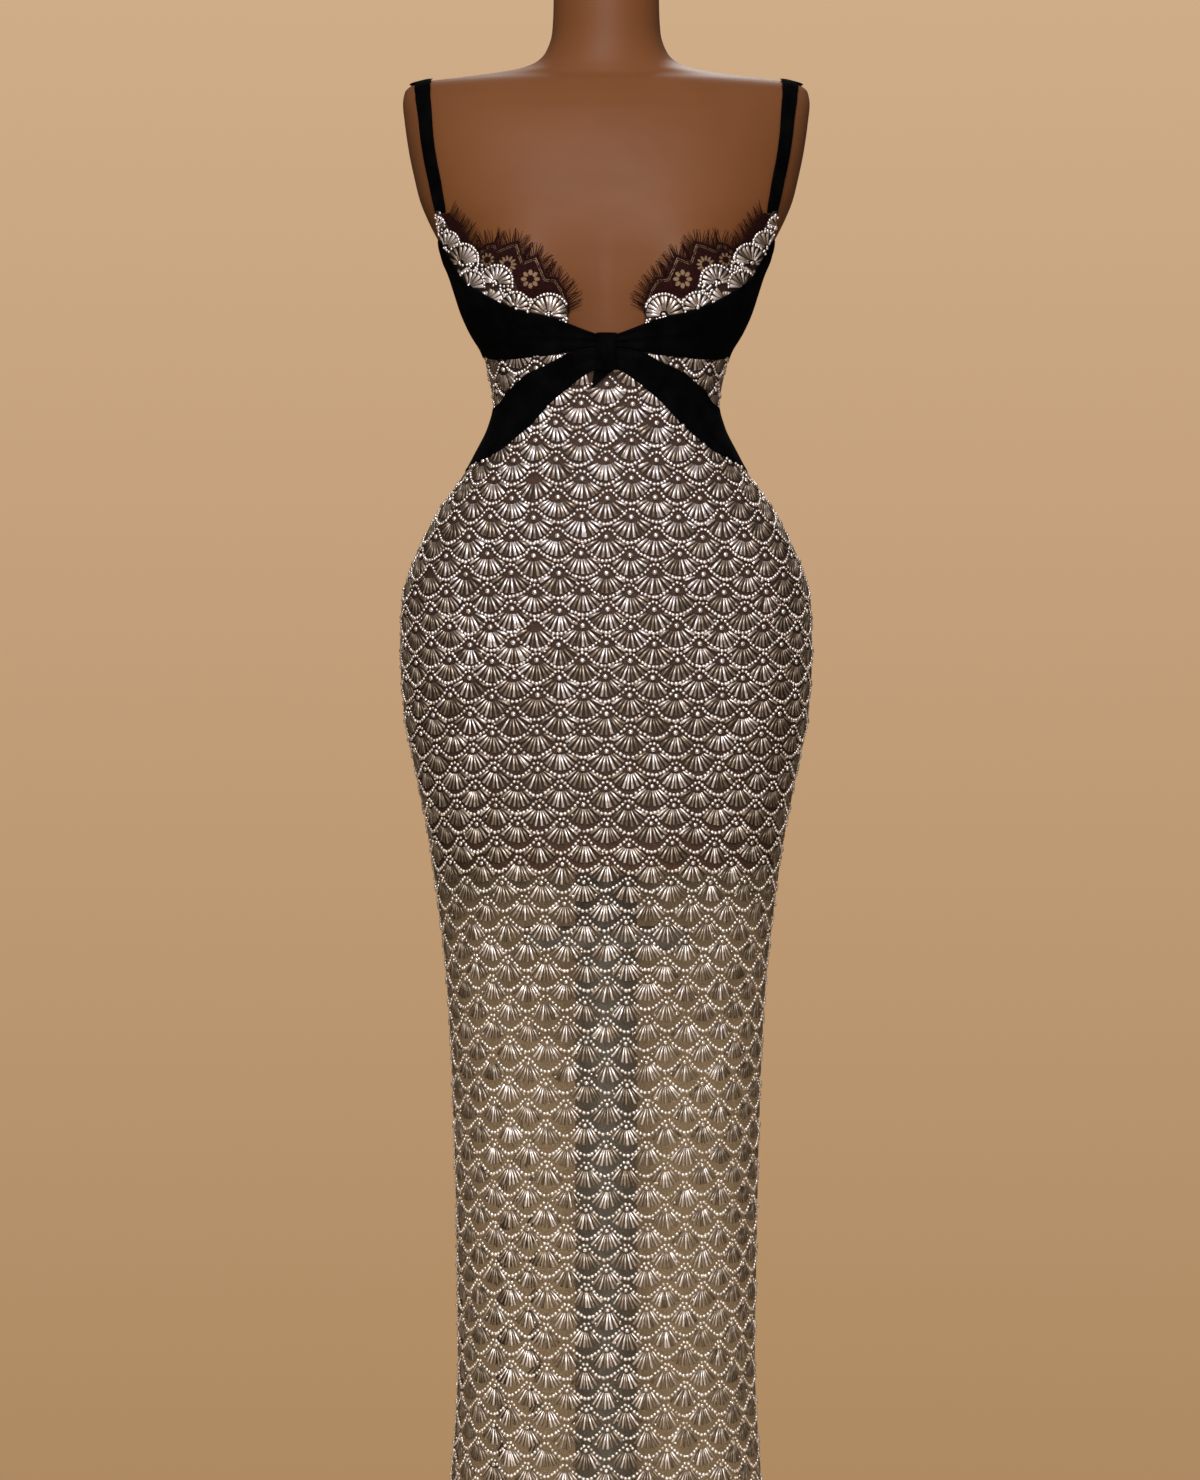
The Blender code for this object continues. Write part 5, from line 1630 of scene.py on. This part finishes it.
def make_lace_work(side, word):
    """The worked lace on its ground, with open petals and slots."""
    angles, heights = lace_grid(230, 84)
    points = body(angles, heights, LACE_LIFT + LACE_WORK_RISE)
    middle = (points[:-1, :-1] + points[1:, 1:]) / 2.0
    across, height = np.abs(middle[..., 0]), middle[..., 2]
    solid = ~(petal_holes(across, height) | trellis_holes(across, height))
    faces = grid_quads(np.arange(angles.size).reshape(angles.shape))[solid]
    used, faces = np.unique(faces, return_inverse=True)
    points, faces = sided(points.reshape(-1, 3)[used], faces.reshape(-1, 4), side)
    name = "lace_work_" + word
    piece = add_piece(name, build_mesh(name, points, faces), LACE)
    wall = piece.modifiers.new("wall", "SOLIDIFY")
    wall.thickness = LACE_WORK_WALL
    wall.offset = 1.0
    return piece


def lash_lines():
    """Points and normals along each lash: small leaning groups along the lace's edge."""
    path = even_path(LACE_UPPER, 721)
    square = square_to(path, 26)
    spots = np.linspace(6, 714, LASH_COUNT) + RNG.uniform(-1.0, 1.0, LASH_COUNT)
    where = spots.astype(int)
    group = np.sin(np.arange(LASH_COUNT) * 2.0 * math.pi / LASH_GROUP)
    lean = unit(square[where] + LASH_LEAN)
    aside = np.stack([lean[:, 1], -lean[:, 0]], axis=1)
    length = LASH_LENGTH + LASH_LENGTH_WAVE * np.sin(spots * 0.045) + RNG.normal(0.0, 0.0008, LASH_COUNT)
    bend = LASH_BEND * group + RNG.normal(0.0, 0.08, LASH_COUNT)
    seen = (path[where][:, None] + square[where][:, None] * LASH_ROOT
            + lean[:, None] * (length[:, None] * LASH_SHARES)[..., None]
            + aside[:, None] * ((length * bend)[:, None] * LASH_SHARES ** 1.6)[..., None])
    lift = LACE_LIFT + LASH_LIFT + LASH_RISE * LASH_SHARES ** 2
    return body_frame(angle_at(seen[..., 0], seen[..., 1]), seen[..., 1], lift)


def make_lashes(side, word):
    """Each lash is a fine four-sided spike that thins towards its tip."""
    line, normal = lash_lines()
    sideways = unit(np.cross(unit(np.gradient(line, axis=1)), normal))
    thick = (LASH_THICK * (1.0 - LASH_TAPER * LASH_SHARES))[:, None]
    corners = np.stack([line + sideways * thick, line + normal * thick, line - sideways * thick,
                        line - normal * thick], axis=2)
    stations = len(LASH_SHARES)
    ends = [(3, 2, 1, 0), np.arange(4) + 4 * (stations - 1)]
    faces = np.concatenate([ring_quads(stations, 4), ends])
    copies = (faces[None] + (np.arange(LASH_COUNT) * 4 * stations)[:, None, None]).reshape(-1, 4)
    name = "lash_fringe_" + word
    mesh = build_mesh(name, *sided(corners.reshape(-1, 3), copies[:, ::-1], side))
    return add_piece(name, mesh, LACE, "lashes_" + word)


def make_lace_cord(side, word):
    """The thin cord that binds the lace's edge, as a tube of six sides."""
    path = even_path(LACE_UPPER, 181)
    angles = angle_at(path[:, 0], path[:, 1])
    line, normal = body_frame(angles, path[:, 1], LACE_LIFT + LACE_CORD_RISE)
    sideways = unit(np.cross(unit(np.gradient(line, axis=0)), normal))
    turn = np.linspace(0.0, 2.0 * math.pi, 6, endpoint=False)[:, None]
    ring = (sideways[:, None] * np.cos(turn) + normal[:, None] * np.sin(turn)) * LACE_CORD / 2.0
    last = 6 * (len(line) - 1)
    caps = [(0, 1, 2, 3), (0, 3, 4, 5), (last + 3, last + 2, last + 1, last),
            (last + 5, last + 4, last + 3, last)]
    faces = np.concatenate([ring_quads(len(line), 6)[:, [0, 3, 2, 1]], caps])
    name = "lace_cord_" + word
    mesh = build_mesh(name, *sided((line[:, None] + ring).reshape(-1, 3), faces, side))
    return add_piece(name, mesh, LACE)


# ------------------------ zip

ZIP_TAPE_WALL = 0.0006
TOOTH_STEP = 0.0015
TOOTH_FOOT = 0.0016
TOOTH_HEAD = 0.0006
TOOTH_WIDTH = 0.00062
TOOTH_THICK = 0.0008
COIL_SHADES = (0.4, 0.1, 0.0)


def tooth_form():
    """One turn of the zip's coil: a low bar with a rounded head."""
    outline = [(-0.5, 0.0), (0.5, 0.0), (0.5, 0.6), (0.25, 1.0), (-0.25, 1.0), (-0.5, 0.6)]
    points = [(x, along, z) for along in (0.0, 1.0) for x, z in outline]
    faces = prism_sides(6)
    for corner in range(1, 5):
        faces += [(0, corner, corner + 1), (6, corner + 7, corner + 6)]
    return np.array(points), np.array(faces)


def make_zip():
    """The zip's woven tape, and the coil of teeth that closes along it."""
    tape_top = NET_LIFT + ZIP_TAPE_WALL
    levels = np.linspace(ZIP_END, ZIP_TOP, 90)[:, None]
    across = np.linspace(ZIP_HALF_WIDTH, -ZIP_HALF_WIDTH, 9)
    angles = math.pi - np.sign(across) * angle_at(across, levels)
    cloth_piece("zip_tape_strip", body(angles, levels, tape_top), body(angles, levels, NET_LIFT),
                ZIP_TAPE, "zip_strip")
    height = np.arange(ZIP_END + 0.003, ZIP_TOP - 0.002, TOOTH_STEP / 2.0)
    hand = np.where(np.arange(len(height)) % 2, 1.0, -1.0)
    starts, normal = body_frame(math.pi - hand * angle_at(TOOTH_FOOT, height), height, tape_top)
    along = body(math.pi + hand * angle_at(TOOTH_HEAD, height), height, tape_top) - starts
    axes = bead_axes(along, normal, TOOTH_WIDTH, np.linalg.norm(along, axis=1), TOOTH_THICK)
    scatter("zip_coil", tooth_form(), starts, axes, random_shades(len(height), *COIL_SHADES), SEED)


# ------------------------ the whole gown


def make_gown():
    declare_cloth(*make_front_panel(), "stretched", ["form_skin"], bead_net(False))
    back_beads = bead_net(True)
    for side, word in ((-1, "left"), (1, "right")):
        beads = back_beads if word == "left" else []
        declare_cloth(*make_back_panel(side, word), "stretched", ["form_skin"], beads)
        declare_cloth(*make_cup(side, word), "stretched", ["form_skin"], bead_cup(side, word))
        lace = make_lace(side, word)
        trim = [make_lace_work(side, word), make_lace_cord(side, word), make_lashes(side, word)]
        declare_cloth(*lace, "stretched", ["form_skin"], trim)
        for maker in (make_wing, make_tail, make_band, make_strap):
            declare_cloth(*maker(side, word), "stretched", ["front_panel", "form_skin"])
    for maker in (make_knot, make_knot_end):
        declare_cloth(*maker(), "folded", ["front_panel"])
    make_zip()
    coat_nodes(ZIP_METAL_NODES, NICKEL)


FLOOR_RINGS = ((1.06, -0.0105), (1.075, -0.0065), (1.075, -0.0035), (1.066, -0.0005),
               (0.0005, -0.0005))


def make_floor():
    """A plain pale disc with a rounded rim for the stand to stand on."""
    turn = np.linspace(0.0, 2.0 * math.pi, 96, endpoint=False)
    rings = [np.stack([radius * np.cos(turn), radius * np.sin(turn), height + 0.0 * turn], axis=1)
             for radius, height in FLOOR_RINGS]
    mesh = build_mesh("floor", np.concatenate(rings), ring_quads(len(rings), len(turn)))
    mesh.materials.append(FLOOR_PAINT)
    floor = bpy.data.objects.new("floor", mesh)
    bpy.context.scene.collection.objects.link(floor)


make_lamps()
make_surround()
make_floor()
CUP_ANGLES, CUP_TOPS = cup_edges(240)
make_form()
coat_nodes(STAND_NODES, COAT)
make_gown()
